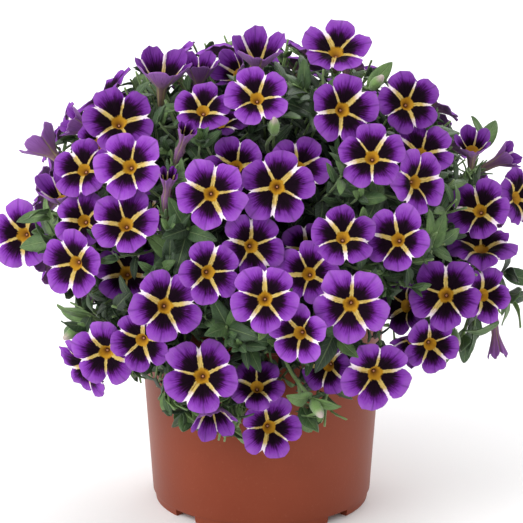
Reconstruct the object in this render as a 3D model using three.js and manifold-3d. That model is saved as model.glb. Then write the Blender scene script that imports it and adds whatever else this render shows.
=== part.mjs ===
// A calibrachoa in full bloom, growing in a 12 cm nursery pot.
// Millimetres, +Z up. The origin is on the pot's axis, at the floor that the pot stands on.
import * as THREE from 'three';
import { mergeVertices } from 'three/addons/utils/BufferGeometryUtils.js';
import Module from 'manifold-3d';

const wasm = await Module();
wasm.setup();

// ---- driving dimensions -------------------------------------------------------------------

const POT_HEIGHT = 100;
const POT_RIM_RADIUS = 60;
const POT_RIM_HEIGHT = 10;
const POT_TOP_RADIUS = 58.4;
const POT_BASE_RADIUS = 52.6;
const POT_WALL = 1.6;
const POT_SIDES = 32;
const FOOT_HEIGHT = 4;
const FOOT_STEP = 0.9;
const FOOT_WIDTH = 5;
const NOTCH_COUNT = 4;
const NOTCH_HEIGHT = 3.3;
const NOTCH_WIDTH = 13;
const DRAIN_HOLE_RADIUS = 4;
const DRAIN_HOLE_RING = 36;

const SOIL_TOP = 90;
const SOIL_CLEARANCE = 0.4;
const SOIL_DOME = 2;
const STEM_HOLE_CLEARANCE = 0.9;

const MOUND_CENTRE = 130;
const MOUND_RADIUS = 113;
const MOUND_HALF_HEIGHT = 97;

const STEM_COUNT = 8;
const STEM_RADIUS = 2;
const STEM_RING = 18;
const STEM_ROOT = 70;
const STEM_TOP = 100;
const CORE_SIDES = 16;
const CORE_MIDDLE = 132;
const CORE_FLOOR = 106;
const WEDGE_GAP = 0.4;
const SHOOT_RADIUS = 0.9;
const SHOOT_STEP = 24;
const FORK_TRIES = 60;
const FORK_DEPTH = 0.08;
const LEAF_SPACING = 40;
const LEAF_EVERY = 20;
const LEAF_SINK = 0.8;
const LEAF_WIDTH = 0.43;
const LEAF_CURL = 0.12;
const LEAF_VARIES = 3;
const TUFT_LEAF = 15;
const TUFT_LEAF_GAIN = 5;
const TUFT_LEAN = [38, 80];
const SHOOT_LEAF = 17;
const CORE_LEAF = 24;
const CORE_LEAVES = 30;
const GOLDEN_ANGLE = Math.PI * (3 - Math.sqrt(5));
const BUD_PROFILE = [[0, 0], [2.8, 3], [2.4, 8.5], [0, 13]];

const THROAT_DEPTH = 4;
const NECK_RADIUS = 2.4;
const NECK_DEPTH = 3.6;
const TUBE_RADIUS = 1.3;
const TUBE_LENGTH = 13;
const CALYX_GAP = 0.4;
const CALYX_LENGTH = 4;
const CUP_RADIUS = 2.2;
const SEPAL_SPREAD = 3.3;
const SEPAL_RISE = 3.6;
const BLOOM_GAP = 0.8;

const BLOOM_NODES = 50;
const MOST_BLOOMS_FUSED = 5;
const LONGEST_PAIR = 46;
const LONGEST_BEND = 16;
const FUSED_VOLUME = 0.05;
const LEAST_GAP = 0.3;
const BLOOM_SLIVERS = [0.05, 0.03];
const SLIVERS = [0.2, 0.1, 0.03];

// Blooms are placed by sighting: across and down on a grid whose steps are SIGHT_STEP mm wide
// at the pot's axis, seen from SIGHT_DISTANCE away and SIGHT_TILT above level.
const SIGHT_STEP = 0.477;
const SIGHT_MIDDLE = 261.5;
const SIGHT_HEIGHT = 117.7;
const SIGHT_DISTANCE = 1600;
const SIGHT_TILT = 17;

// ---- what grows where ---------------------------------------------------------------------

// [across, down, diameter in mm, yaw, pitch, roll of its first ray, form]. Yaw 0 faces -Y and
// turns towards +X; pitch rises from level. Blooms nearer the eye come first.
const FRONT_BLOOMS = [
  [202, 376, 34, -8, 22, -6, 'open'],
  [269, 427, 29, 15, 8, -18, 'open'],
  [375, 373, 33, 12, -3, 3, 'open'],
  [351, 304, 34, -3, 5, 4, 'open'],
  [446, 295, 33, -8, 22, 0, 'open'],
  [165, 306, 33, 12, 18, 11, 'open'],
  [211, 194, 32, 0, 15, 10, 'open'],
  [277, 187, 33, 0, 15, 45, 'open'],
  [342, 110, 32, 16, 17, 46, 'open'],
  [119, 123, 33, 2, 44, 12, 'open'],
  [142, 340, 28, -15, -2, 14, 'open'],
  [106, 352, 31, -12, -2, 38, 'open'],
  [257, 387, 26, 0, 45, -2, 'open'],
  [265, 299, 31, 0, 20, -1, 'open'],
  [251, 246, 30, 15, 17, -2, 'open'],
  [398, 240, 30, -18, 25, -6, 'open'],
  [480, 211, 30, -20, 34, 57, 'open'],
  [407, 104, 30, 15, 28, 23, 'open'],
  [130, 167, 32, -14, 28, 13, 'open'],
  [126, 225, 32, -8, 40, -18, 'open'],
  [76, 263, 31, -28, 8, 46, 'open'],
  [208, 272, 29, 18, 15, 14, 'open'],
  [127, 273, 31, -5, 35, 35, 'open'],
  [309, 274, 29, -12, 28, 47, 'open'],
  [300, 333, 28, -25, 8, 40, 'open'],
  [328, 365, 27, -30, 6, 52, 'open'],
  [372, 158, 31, -6, 35, 34, 'open'],
  [415, 182, 30, 38, 12, 5, 'open'],
  [257, 99, 30, -3, 43, 20, 'open'],
  [343, 238, 30, 2, 42, 31, 'open'],
  [481, 250, 33, 5, 72, 3, 'open'],
  [483, 295, 27, 32, 15, -12, 'open'],
  [516, 198, 29, 52, 20, 35, 'open'],
  [24, 235, 33, -25, 12, 33, 'open'],
  [84, 170, 29, -25, 38, 32, 'open'],
  [203, 111, 27, -5, 48, 41, 'open'],
  [218, 127, 29, 0, 80, -8, 'open'],
  [336, 53, 33, 0, 58, 46, 'open'],
  [406, 306, 27, -45, 10, 20, 'open'],
  [63, 199, 24, -20, 66, 36, 'cup'],
  [236, 167, 28, -12, 25, 12, 'open'],
  [298, 168, 29, 5, 25, -8, 'open'],
  [307, 250, 26, 0, 12, -8, 'open'],
  [421, 154, 30, 8, 50, 17, 'open'],
  [258, 62, 26, 5, 70, 30, 'cup'],
  [162, 82, 27, 15, 74, 10, 'cup'],
  [199, 76, 20, 10, 80, 0, 'cup'],
  [97, 145, 23, -15, 40, -2, 'open'],
  [49, 150, 21, -110, 42, 0, 'cup'],
  [80, 126, 16, -80, 25, 0, 'cup'],
  [430, 344, 26, 12, 0, 60, 'open'],
  [413, 342, 18, -30, -25, 0, 'cup'],
  [212, 410, 22, 10, -35, 15, 'cup'],
  [84, 221, 27, -20, 30, -18, 'open'],
  [152, 216, 24, -15, 35, 10, 'open'],
  [238, 74, 20, -50, 35, 0, 'cup'],
  [472, 150, 18, 0, 60, 20, 'cup'],
  [502, 159, 15, 75, 30, 0, 'cup'],
  [182, 145, 11, 25, 55, 0, 'closed'],
  [167, 191, 11, 10, 60, 0, 'closed'],
  [495, 330, 12, 20, -70, 0, 'closed'],
];

// The rule for the sides and the back: shoot tips in even steps over the mound, with two or
// three blooms on each, facing outwards.
const BACK_STEPS = 46;
const BACK_BLOOMS = [3, 2, 3];
const BACK_SPREAD = 17;
const BACK_DIAMETERS = [30, 35];
const BACK_LOWEST = 78;
const BACK_EDGE = -0.3;
const BACK_DROP = 10;
const BACK_DEEPEST = 16;
const FRONT_DEEPEST = 60;
const SETTLE_STEP = 0.8;

// Leafy tufts and buds that show between the blooms: [across, down, depth below the mound's
// surface, yaw, pitch, kind].
const TUFTS = [
  [303, 88, 8, 10, 60, 'leaves'],
  [316, 118, 12, 20, 45, 'leaves'],
  [165, 100, 8, -10, 70, 'leaves'],
  [155, 128, 10, 0, 50, 'leaves'],
  [274, 133, 8, 0, 50, 'bud'],
  [47, 211, 2, -60, 40, 'leaves'],
  [48, 243, 4, -60, 10, 'leaves'],
  [88, 314, 2, -50, -15, 'leaves'],
  [112, 306, 8, -20, 10, 'leaves'],
  [84, 325, 0, -60, -25, 'bud'],
  [188, 228, 8, 0, 20, 'leaves'],
  [168, 262, 9, 0, 25, 'leaves'],
  [226, 327, 3, 0, 20, 'leaves'],
  [244, 349, 6, 0, -10, 'leaves'],
  [269, 342, 8, 0, 30, 'leaves'],
  [350, 189, 6, 0, 30, 'bud'],
  [401, 191, 6, 10, 20, 'bud'],
  [431, 246, 5, 10, 40, 'leaves'],
  [474, 326, 4, 35, -30, 'leaves'],
  [462, 338, 6, 30, -40, 'leaves'],
  [451, 330, 2, 15, -20, 'bud'],
  [508, 272, 3, 60, 10, 'leaves'],
  [512, 300, 3, 70, -20, 'leaves'],
  [484, 143, 3, 40, 60, 'leaves'],
  [361, 80, 4, 10, 60, 'leaves'],
  [372, 88, 2, 30, 40, 'bud'],
  [425, 126, 6, 30, 60, 'leaves'],
  [231, 436, 0, 0, -60, 'bud'],
  [224, 432, 3, -20, -70, 'leaves'],
  [313, 401, 0, 20, -20, 'bud'],
  [303, 412, 4, 10, -75, 'leaves'],
  [186, 410, 4, -10, -70, 'leaves'],
  [340, 340, 8, 0, 0, 'leaves'],
  [380, 200, 10, 0, 30, 'leaves'],
];
const BACK_TUFTS = 16;
const LEAVES_IN_TUFT = { leaves: 4, bud: 2 };

// ---- small helpers ------------------------------------------------------------------------

const rad = THREE.MathUtils.degToRad;
const vec = (x, y, z) => new THREE.Vector3(x, y, z);
const UP = vec(0, 0, 1);

// A seeded source of even draws between 0 and 1.
function makeDraw(seed) {
  let state = seed;
  return () => {
    state = (state + 0x6d2b79f5) | 0;
    let t = Math.imul(state ^ (state >>> 15), 1 | state);
    t = (t + Math.imul(t ^ (t >>> 7), 61 | t)) ^ t;
    return ((t ^ (t >>> 14)) >>> 0) / 4294967296;
  };
}

function solidOf(geometry) {
  const bare = geometry.clone();
  bare.deleteAttribute('normal');
  bare.deleteAttribute('uv');
  const merged = mergeVertices(bare);
  const vertProperties = new Float32Array(merged.attributes.position.array);
  const triVerts = new Uint32Array(merged.index.array);
  return new wasm.Manifold(new wasm.Mesh({ numProp: 3, vertProperties, triVerts }));
}

// A closed solid from a list of points and a list of triangles that all turn the same way.
function solidFrom(points, triangles) {
  const volume = triangles.reduce(
    (sum, [a, b, c]) => sum + points[a].dot(points[b].clone().cross(points[c])),
    0,
  );
  const outwards = volume > 0 ? triangles : triangles.map(([a, b, c]) => [a, c, b]);
  const geometry = new THREE.BufferGeometry();
  const flat = points.flatMap((p) => [p.x, p.y, p.z]);
  geometry.setAttribute('position', new THREE.Float32BufferAttribute(flat, 3));
  geometry.setIndex(outwards.flat());
  return solidOf(geometry);
}

// Drops slivers as far as the solid stays in one piece, trying the given sizes in turn.
function lean(solid, sizes) {
  const bare = solid.asOriginal();
  const tries = sizes.map((size) => bare.simplify(size));
  return tries.find((result) => result.decompose().length === 1) ?? solid;
}

function meshOf(name, solid, material) {
  const mesh = solid.getMesh();
  const geometry = new THREE.BufferGeometry();
  const positions = new THREE.BufferAttribute(new Float32Array(mesh.vertProperties), 3);
  geometry.setAttribute('position', positions);
  geometry.setIndex(new THREE.BufferAttribute(new Uint32Array(mesh.triVerts), 1));
  geometry.computeVertexNormals();
  const result = new THREE.Mesh(geometry, material.clone());
  result.name = name;
  return result;
}

function tube(curve, radius, sides, steps) {
  const section = new THREE.Shape();
  for (let i = 0; i < sides; i++) {
    const angle = (2 * Math.PI * i) / sides;
    const [x, y] = [radius * Math.cos(angle), radius * Math.sin(angle)];
    if (i === 0) section.moveTo(x, y);
    else section.lineTo(x, y);
  }
  const options = { steps, bevelEnabled: false, extrudePath: curve };
  return solidOf(new THREE.ExtrudeGeometry(section, options));
}

// ---- sighting and the mound ---------------------------------------------------------------

const TILT = rad(SIGHT_TILT);
const SIGHT_FORWARD = vec(0, Math.cos(TILT), -Math.sin(TILT));
const SIGHT_UP = vec(0, Math.sin(TILT), Math.cos(TILT));
const SIGHT_TARGET = vec(0, 0, SIGHT_HEIGHT);
const SIGHT_EYE = SIGHT_TARGET.clone().addScaledVector(SIGHT_FORWARD, -SIGHT_DISTANCE);

function sightLine(across, down) {
  const line = SIGHT_FORWARD.clone().multiplyScalar(SIGHT_DISTANCE);
  line.x += (across - SIGHT_MIDDLE) * SIGHT_STEP;
  line.addScaledVector(SIGHT_UP, -(down - SIGHT_MIDDLE) * SIGHT_STEP);
  return line.normalize();
}

// Where a line from the eye meets the mound's surface, or passes nearest to it.
function onMound(line) {
  const stretch = MOUND_RADIUS / MOUND_HALF_HEIGHT;
  const from = SIGHT_EYE.clone();
  from.z = (from.z - MOUND_CENTRE) * stretch;
  const along = vec(line.x, line.y, line.z * stretch);
  const a = along.dot(along);
  const b = from.dot(along);
  const c = from.dot(from) - MOUND_RADIUS ** 2;
  const reach = (-b - Math.sqrt(Math.max(0, b * b - a * c))) / a;
  return SIGHT_EYE.clone().addScaledVector(line, reach);
}

function facing(yaw, pitch) {
  const level = Math.cos(rad(pitch));
  return vec(Math.sin(rad(yaw)) * level, -Math.cos(rad(yaw)) * level, Math.sin(rad(pitch)));
}

// ---- blooms -------------------------------------------------------------------------------

// Rim shapes, as shares of the bloom's radius: how far out the notches, shoulders and tips
// of the lobes lie, how high each stands over the throat's mouth, and the slab that holds them.
// throat is the mouth's own radius in mm.
const FORMS = {
  open: { out: [0.8, 0.98, 1.02], rise: [0.2, 0.3, 0.26], high: 0.36, low: 0.1, throat: 3 },
  cup: { out: [0.8, 0.95, 1.0], rise: [0.62, 0.85, 0.95], high: 1.05, low: 0.5, throat: 3 },
  closed: { out: [0.5, 0.85, 0.75], rise: [1.7, 2.0, 2.3], high: 2.4, low: 1.6, throat: 1.2 },
};

function makeBloom(mouth, normal, diameter, roll, form, retreat, kinds) {
  const axis = normal.clone().normalize();
  let lift = SIGHT_UP.clone().addScaledVector(axis, -SIGHT_UP.dot(axis));
  if (lift.length() < 0.15) lift = vec(1, 0, 0).addScaledVector(axis, -axis.x);
  lift.normalize();
  const side = lift.clone().cross(axis);
  return { mouth, axis, lift, side, radius: diameter / 2, roll: rad(roll), form, retreat, kinds };
}

function bloomPoint(bloom, angle, out, height) {
  const turned = angle + bloom.roll;
  return bloom.mouth
    .clone()
    .addScaledVector(bloom.lift, Math.cos(turned) * out)
    .addScaledVector(bloom.side, Math.sin(turned) * out)
    .addScaledVector(bloom.axis, height);
}

const LOBES = 5;
const LOBE_ANGLE = (2 * Math.PI) / LOBES;

// The rim points of one lobe: a notch, then shoulders with the tip between them.
const FINE_LOBE = [0, 1, 2, 1];
const PLAIN_LOBE = [0, 1, 1];
const FINE_FROM = 31;

const rimCount = (bloom) => bloom.kinds.length * LOBES;

function rimPoint(bloom, i) {
  const form = FORMS[bloom.form];
  const kind = bloom.kinds[i % bloom.kinds.length];
  const wave = 1 + 0.04 * Math.sin(i * 2.4 + bloom.mouth.x);
  const out = form.out[kind] * bloom.radius * wave;
  const angle = (i / bloom.kinds.length) * LOBE_ANGLE;
  return bloomPoint(bloom, angle, out, form.rise[kind] * bloom.radius);
}

// Points that stand for the bloom when its room is tested, each with how thick it is there.
function bloomProbes(bloom) {
  const probes = [];
  for (let i = 0; i < rimCount(bloom); i++) {
    const rim = rimPoint(bloom, i);
    probes.push([rim, BLOOM_GAP]);
    probes.push([bloom.mouth.clone().lerp(rim, 0.75), BLOOM_GAP]);
    if (i % 2 === 0) probes.push([bloom.mouth.clone().lerp(rim, 0.45), BLOOM_GAP]);
  }
  for (const depth of [0, 4, 8, 12]) {
    probes.push([bloomPoint(bloom, 0, 0, -depth), NECK_RADIUS + BLOOM_GAP]);
  }
  for (const depth of [12, 15, 18]) {
    probes.push([bloomPoint(bloom, 0, 0, -depth), SEPAL_SPREAD + BLOOM_GAP]);
  }
  return probes;
}

// Whether a ball of the given size round a point would touch the bloom or its calyx.
function bloomHolds(bloom, point, size) {
  const from = point.clone().sub(bloom.mouth);
  const height = from.dot(bloom.axis);
  const out = Math.sqrt(Math.max(0, from.lengthSq() - height * height));
  const share = out / bloom.radius;
  const form = FORMS[bloom.form];
  const top = form.high * bloom.radius * share + size;
  const bottom = -NECK_DEPTH + (NECK_DEPTH + form.low * bloom.radius) * share - size;
  if (out < bloom.radius * 1.04 + size && height < top && height > bottom) return true;
  if (height > 0 || height < -TUBE_LENGTH - CALYX_LENGTH - size) return false;
  return out < (height > -TUBE_LENGTH + SEPAL_RISE ? NECK_RADIUS : SEPAL_SPREAD) + size;
}

function bloomsClash(a, b) {
  const reach = a.radius * 1.5 + b.radius * 1.5 + 24;
  if (a.mouth.distanceTo(b.mouth) > reach) return false;
  if (bloomProbes(a).some(([point, size]) => bloomHolds(b, point, size))) return true;
  return bloomProbes(b).some(([point, size]) => bloomHolds(a, point, size));
}

// Moves a bloom back, step by step, until it is clear of those already placed.
function settle(bloom, placed, deepest) {
  const start = bloom.mouth.clone();
  for (let depth = 0; depth <= deepest; depth += SETTLE_STEP) {
    bloom.mouth = start.clone().addScaledVector(bloom.retreat, depth);
    if (bloom.mouth.z < POT_HEIGHT + 6) {
      const back = bloomPoint(bloom, 0, 0, -TUBE_LENGTH - CALYX_LENGTH);
      if (Math.hypot(back.x, back.y) < POT_RIM_RADIUS + 2.5) return false;
    }
    if (!placed.some((other) => bloomsClash(bloom, other))) return true;
  }
  return false;
}

function placeBlooms() {
  const placed = [];
  for (const [across, down, diameter, yaw, pitch, roll, form] of FRONT_BLOOMS) {
    const line = sightLine(across, down);
    const normal = facing(yaw, pitch);
    const kinds = diameter >= FINE_FROM ? FINE_LOBE : PLAIN_LOBE;
    const bloom = makeBloom(onMound(line), normal, diameter, roll, form, line, kinds);
    if (settle(bloom, placed, FRONT_DEEPEST)) placed.push(bloom);
  }
  const draw = makeDraw(7);
  for (let i = 0; i < BACK_STEPS; i++) {
    const level = 1 - (2 * (i + 0.5)) / BACK_STEPS;
    const round = Math.sqrt(1 - level * level);
    const tip = vec(Math.cos(i * GOLDEN_ANGLE) * round, Math.sin(i * GOLDEN_ANGLE) * round, level);
    const first = draw() * 2 * Math.PI;
    const across = vec(-tip.y, tip.x, 0).normalize();
    const count = BACK_BLOOMS[i % BACK_BLOOMS.length];
    for (let n = 0; n < count; n++) {
      const spin = first + (n * 2 * Math.PI) / count;
      const spread = BACK_SPREAD / MOUND_RADIUS;
      const outwards = tip.clone().addScaledVector(across, Math.cos(spin) * spread);
      outwards.addScaledVector(tip.clone().cross(across), Math.sin(spin) * spread).normalize();
      const diameter = THREE.MathUtils.lerp(BACK_DIAMETERS[0], BACK_DIAMETERS[1], draw());
      const sway = vec(draw() - 0.5, draw() - 0.5, draw() - 0.2).multiplyScalar(0.4);
      const roll = draw() * 72;
      const place = outwards.clone().multiplyScalar(MOUND_RADIUS);
      place.z = MOUND_CENTRE + outwards.z * (MOUND_HALF_HEIGHT - BACK_DROP);
      if (place.z < BACK_LOWEST || outwards.dot(SIGHT_FORWARD) < BACK_EDGE) continue;
      const normal = outwards.clone().add(sway);
      const inwards = outwards.clone().negate();
      const bloom = makeBloom(place, normal, diameter, roll, 'open', inwards, PLAIN_LOBE);
      if (settle(bloom, placed, BACK_DEEPEST)) placed.push(bloom);
    }
  }
  return placed;
}

// A corolla: pit, limb and tube in one closed skin, its rim a sharp edge.
// bent holds rim points that are moved to meet a neighbour.
function bloomSolid(bloom, bent) {
  const points = [bloomPoint(bloom, 0, 0, -THROAT_DEPTH)];
  const ring = (out, height) => {
    const first = points.length;
    for (let k = 0; k < LOBES; k++) points.push(bloomPoint(bloom, k * LOBE_ANGLE, out, height));
    return first;
  };
  const mouth = ring(FORMS[bloom.form].throat, 0);
  const neck = ring(NECK_RADIUS, -NECK_DEPTH);
  const end = ring(TUBE_RADIUS, -TUBE_LENGTH);
  const rim = points.length;
  const count = rimCount(bloom);
  for (let i = 0; i < count; i++) points.push(bent.get(i) ?? rimPoint(bloom, i));
  const triangles = [];
  const lobe = bloom.kinds.length;
  const half = Math.floor(lobe / 2);
  for (let k = 0; k < LOBES; k++) {
    const next = (k + 1) % LOBES;
    const at = (i) => rim + ((lobe * k + i) % count);
    for (let i = 0; i < lobe; i++) {
      const corner = i < half ? k : next;
      triangles.push([mouth + corner, at(i + 1), at(i)], [neck + corner, at(i), at(i + 1)]);
    }
    triangles.push([0, mouth + next, mouth + k]);
    triangles.push([mouth + k, mouth + next, at(half)], [neck + k, at(half), neck + next]);
    triangles.push([end + k, neck + k, neck + next], [end + k, neck + next, end + next]);
    if (k > 0 && k < LOBES - 1) triangles.push([end, end + k, end + k + 1]);
  }
  return solidFrom(points, triangles);
}

// The point inside a neighbour's limb that a rim point would sink to, if it lies close to it.
function landing(bloom, point) {
  const from = point.clone().sub(bloom.mouth);
  const height = from.dot(bloom.axis);
  const flat = from.clone().addScaledVector(bloom.axis, -height);
  const share = THREE.MathUtils.clamp(flat.length() / bloom.radius, 0.3, 0.68);
  flat.setLength(share * bloom.radius);
  const rise = FORMS[bloom.form].rise[1] * bloom.radius;
  const top = rise * share * 0.9;
  const bottom = -NECK_DEPTH + (NECK_DEPTH + rise) * share;
  return bloom.mouth.clone().add(flat).addScaledVector(bloom.axis, (top + bottom) / 2);
}

// Pairs of neighbours, the closest first, with the rim point that is bent to join them.
function closePairs(blooms) {
  const pairs = [];
  blooms.forEach((a, i) => {
    blooms.forEach((b, j) => {
      if (i === j || a.form !== 'open' || b.form !== 'open') return;
      if (a.mouth.distanceTo(b.mouth) > LONGEST_PAIR) return;
      for (let k = 0; k < rimCount(a); k++) {
        if (a.kinds[k % a.kinds.length] === 0) continue;
        const point = rimPoint(a, k);
        const target = landing(b, point);
        const gap = target.distanceTo(point);
        if (gap < LONGEST_BEND) pairs.push({ i, j, k, target, gap });
      }
    });
  });
  return pairs.sort((p, q) => p.gap - q.gap);
}

const touches = (a, b) => a.intersect(b).volume() > FUSED_VOLUME;

function clearOf(solid, others, gap) {
  const box = solid.boundingBox();
  return others.every((other) => {
    const { min, max } = other.boundingBox();
    const apart = [0, 1, 2].some((i) => min[i] > box.max[i] + gap || max[i] < box.min[i] - gap);
    return apart || solid.minGap(other, gap * 2) > gap;
  });
}

// Joins close neighbours into groups until no more than BLOOM_NODES are left.
function groupBlooms(blooms) {
  const home = blooms.map((_, i) => i);
  const bent = blooms.map(() => new Map());
  const solids = blooms.map((bloom, i) => bloomSolid(bloom, bent[i]));
  const membersOf = (g) => home.flatMap((h, n) => (h === g ? [n] : []));
  let groups = blooms.length;
  for (const { i, j, k, target } of closePairs(blooms)) {
    if (groups <= BLOOM_NODES) break;
    const [kept, joined] = [home[i], home[j]];
    const count = membersOf(kept).length + membersOf(joined).length;
    if (kept === joined || count > MOST_BLOOMS_FUSED || bent[i].has(k)) continue;
    const bends = new Map(bent[i]).set(k, target);
    const solid = bloomSolid(blooms[i], bends);
    const others = solids.filter((_, n) => home[n] !== kept && home[n] !== joined);
    if (!touches(solid, solids[j]) || !clearOf(solid, others, LEAST_GAP)) continue;
    bent[i] = bends;
    solids[i] = solid;
    home.forEach((h, n) => {
      if (h === joined) home[n] = kept;
    });
    groups--;
  }
  return [...new Set(home)].map((g) => wasm.Manifold.union(membersOf(g).map((n) => solids[n])));
}

// ---- stems, core, shoots, leaves and buds -------------------------------------------------

const WEDGE = (2 * Math.PI) / STEM_COUNT;
const stemAngle = (k) => WEDGE * (k + 0.5);

// The outline of the dense twiggy core, from its underside up: [radius, height].
const CORE_PROFILE = [
  [0, 97],
  [49, 97],
  [51, 106],
  [60, 115],
  [63, 136],
  [54, 157],
  [34, 173],
  [0, 179],
];

// How far each wedge of the core swells sideways and upwards.
const CORE_SWELL = [1.22, 1.26, 1.26, 1.22, 1.0, 0.95, 0.9, 1.08];

function coreProfile(k) {
  const lift = 1 + (CORE_SWELL[k] - 1) * 0.7;
  return CORE_PROFILE.map(([r, z], i) => {
    if (i < 3) return [r, z];
    return [r * CORE_SWELL[k], CORE_FLOOR + (z - CORE_FLOOR) * lift];
  });
}

function stemOf(point) {
  const turn = Math.atan2(point.y, point.x);
  return Math.floor((((turn / (2 * Math.PI)) % 1) + 1) * STEM_COUNT) % STEM_COUNT;
}

// Whether a point lies inside its stem's own wedge of the plant, by at least a margin.
function inWedge(point, k, margin) {
  const turn = Math.atan2(point.y, point.x) - stemAngle(k);
  const folded = Math.atan2(Math.sin(turn), Math.cos(turn));
  const edge = WEDGE / 2 - Math.abs(folded);
  return Math.hypot(point.x, point.y) * Math.sin(edge) > margin;
}

function clearOfPot(point, margin) {
  const out = Math.hypot(point.x, point.y);
  if (point.z > POT_HEIGHT + margin) return true;
  return out > POT_RIM_RADIUS + margin || (out < POT_TOP_RADIUS - 3 && point.z > SOIL_TOP + 3);
}

// A stem out of the soil with the wedge of the core that it carries.
function coreSolid(k) {
  const core = lathe(coreProfile(k), CORE_SIDES);
  const cuts = [-1, 1].map((hand) => {
    const slab = new THREE.BoxGeometry(400, 400, 400);
    slab.translate(0, hand * (200 - WEDGE_GAP), 0);
    slab.rotateZ((hand * WEDGE) / 2);
    slab.rotateZ(stemAngle(k));
    return solidOf(slab);
  });
  const [x, y] = [Math.cos(stemAngle(k)) * STEM_RING, Math.sin(stemAngle(k)) * STEM_RING];
  const stem = new THREE.LineCurve3(vec(x, y, STEM_ROOT), vec(x * 1.3, y * 1.3, STEM_TOP));
  return wasm.Manifold.union([core.subtract(cuts[0]).subtract(cuts[1]), tube(stem, STEM_RADIUS, 6, 1)]);
}

// Points just inside the core's wedge where shoots can start.
function coreForks(k) {
  const forks = [];
  const profile = coreProfile(k);
  for (let level = 2; level < profile.length - 1; level++) {
    for (const share of [0, 0.5]) {
      const [r0, z0] = profile[level];
      const [r1, z1] = profile[level + 1];
      const out = (r0 + (r1 - r0) * share) * (1 - FORK_DEPTH);
      const skin = z0 + (z1 - z0) * share;
      const height = skin + (CORE_MIDDLE - skin) * FORK_DEPTH;
      for (const aside of [-0.3, -0.15, 0, 0.15, 0.3]) {
        const angle = stemAngle(k) + aside;
        const fork = vec(Math.cos(angle) * out, Math.sin(angle) * out, height);
        if (inWedge(fork, k, 1.6)) forks.push(fork);
      }
    }
  }
  return forks;
}

// The rings of a three-sided shoot, from its end back to its root, turned as little as can be.
function shootRings(route, first, second) {
  const rings = [];
  const lift = first.clone();
  const side = second.clone();
  let ahead = lift.clone().cross(side);
  for (let i = route.length - 1; i >= 0; i--) {
    if (i < route.length - 1) {
      const heading = route[Math.max(i - 1, 0)].clone().sub(route[i + 1]).normalize();
      const turn = new THREE.Quaternion().setFromUnitVectors(ahead, heading);
      lift.applyQuaternion(turn);
      side.applyQuaternion(turn);
      ahead = heading;
    }
    for (let n = 0; n < 3; n++) {
      const angle = (2 * Math.PI * n) / 3;
      const point = route[i].clone().addScaledVector(lift, Math.cos(angle) * SHOOT_RADIUS);
      rings.push(point.addScaledVector(side, Math.sin(angle) * SHOOT_RADIUS));
    }
  }
  return rings;
}

function ringSides(count) {
  const triangles = [];
  for (let i = 0; i + 3 < count; i += 3) {
    for (let n = 0; n < 3; n++) {
      const [a, b] = [i + n, i + ((n + 1) % 3)];
      triangles.push([a, b, b + 3], [a, b + 3, a + 3]);
    }
  }
  triangles.push([count - 3, count - 2, count - 1]);
  return triangles;
}

// A flower stalk with its calyx: a small cup under the corolla's tube, with five sepals.
function stalkSolid(route, bloom) {
  const points = shootRings(route, bloom.lift, bloom.side);
  const triangles = ringSides(points.length);
  const floor = -TUBE_LENGTH - CALYX_GAP;
  const cup = points.length;
  for (let k = 0; k < LOBES; k++) {
    points.push(bloomPoint(bloom, k * LOBE_ANGLE, CUP_RADIUS, floor));
    points.push(bloomPoint(bloom, (k + 0.5) * LOBE_ANGLE, SEPAL_SPREAD, floor + SEPAL_RISE));
  }
  const rim = 2 * LOBES;
  const at = (i) => cup + (i % rim);
  for (let k = 0; k < LOBES; k++) triangles.push([at(2 * k + 2), at(2 * k + 1), at(2 * k)]);
  for (let k = 1; k < LOBES - 1; k++) triangles.push([at(0), at(2 * k + 2), at(2 * k)]);
  let corner = 0;
  for (let i = 0; i < rim; i++) {
    if ((i + 0.5) / rim > (corner + 0.5) / 3) {
      triangles.push([corner % 3, at(i), (corner + 1) % 3]);
      corner++;
    }
    triangles.push([corner % 3, at(i), at(i + 1)]);
  }
  return solidFrom(points, triangles);
}

// A plain shoot, capped at both ends.
function shootSolid(route, heading) {
  const lift = heading.clone().cross(Math.abs(heading.z) > 0.9 ? vec(1, 0, 0) : UP).normalize();
  const side = heading.clone().cross(lift);
  if (lift.clone().cross(side).dot(heading) > 0) side.negate();
  const points = shootRings(route, lift, side);
  return solidFrom(points, [...ringSides(points.length), [0, 2, 1]]);
}

// The routes that a shoot could take from a fork to its end, the plainest first.
function shootRoutes(fork, end, heading) {
  const length = fork.distanceTo(end);
  const outwards = vec(end.x, end.y, 0).normalize();
  const aside = vec(-outwards.y, outwards.x, 0);
  const behind = end.clone().addScaledVector(heading, -Math.min(length * 0.45, 14));
  const over = outwards.clone().multiplyScalar(POT_RIM_RADIUS + 9).setZ(POT_HEIGHT + 9);
  const bends = [behind];
  if (end.z < POT_HEIGHT + 8) bends.unshift(over);
  const steps = Math.max(1, Math.round(length / SHOOT_STEP));
  const routes = [];
  for (const bend of bends) {
    for (const shift of [0, 5, -5, 10, -10]) {
      const middle = bend.clone().addScaledVector(aside, shift).addScaledVector(UP, Math.abs(shift) / 3);
      routes.push(new THREE.QuadraticBezierCurve3(fork, middle, end).getPoints(steps));
    }
  }
  return routes;
}

function along(route, spacing) {
  const points = [];
  for (let i = 1; i < route.length; i++) {
    const count = Math.ceil(route[i].distanceTo(route[i - 1]) / spacing);
    for (let n = 0; n < count; n++) points.push(route[i - 1].clone().lerp(route[i], n / count));
  }
  return points;
}

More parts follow.
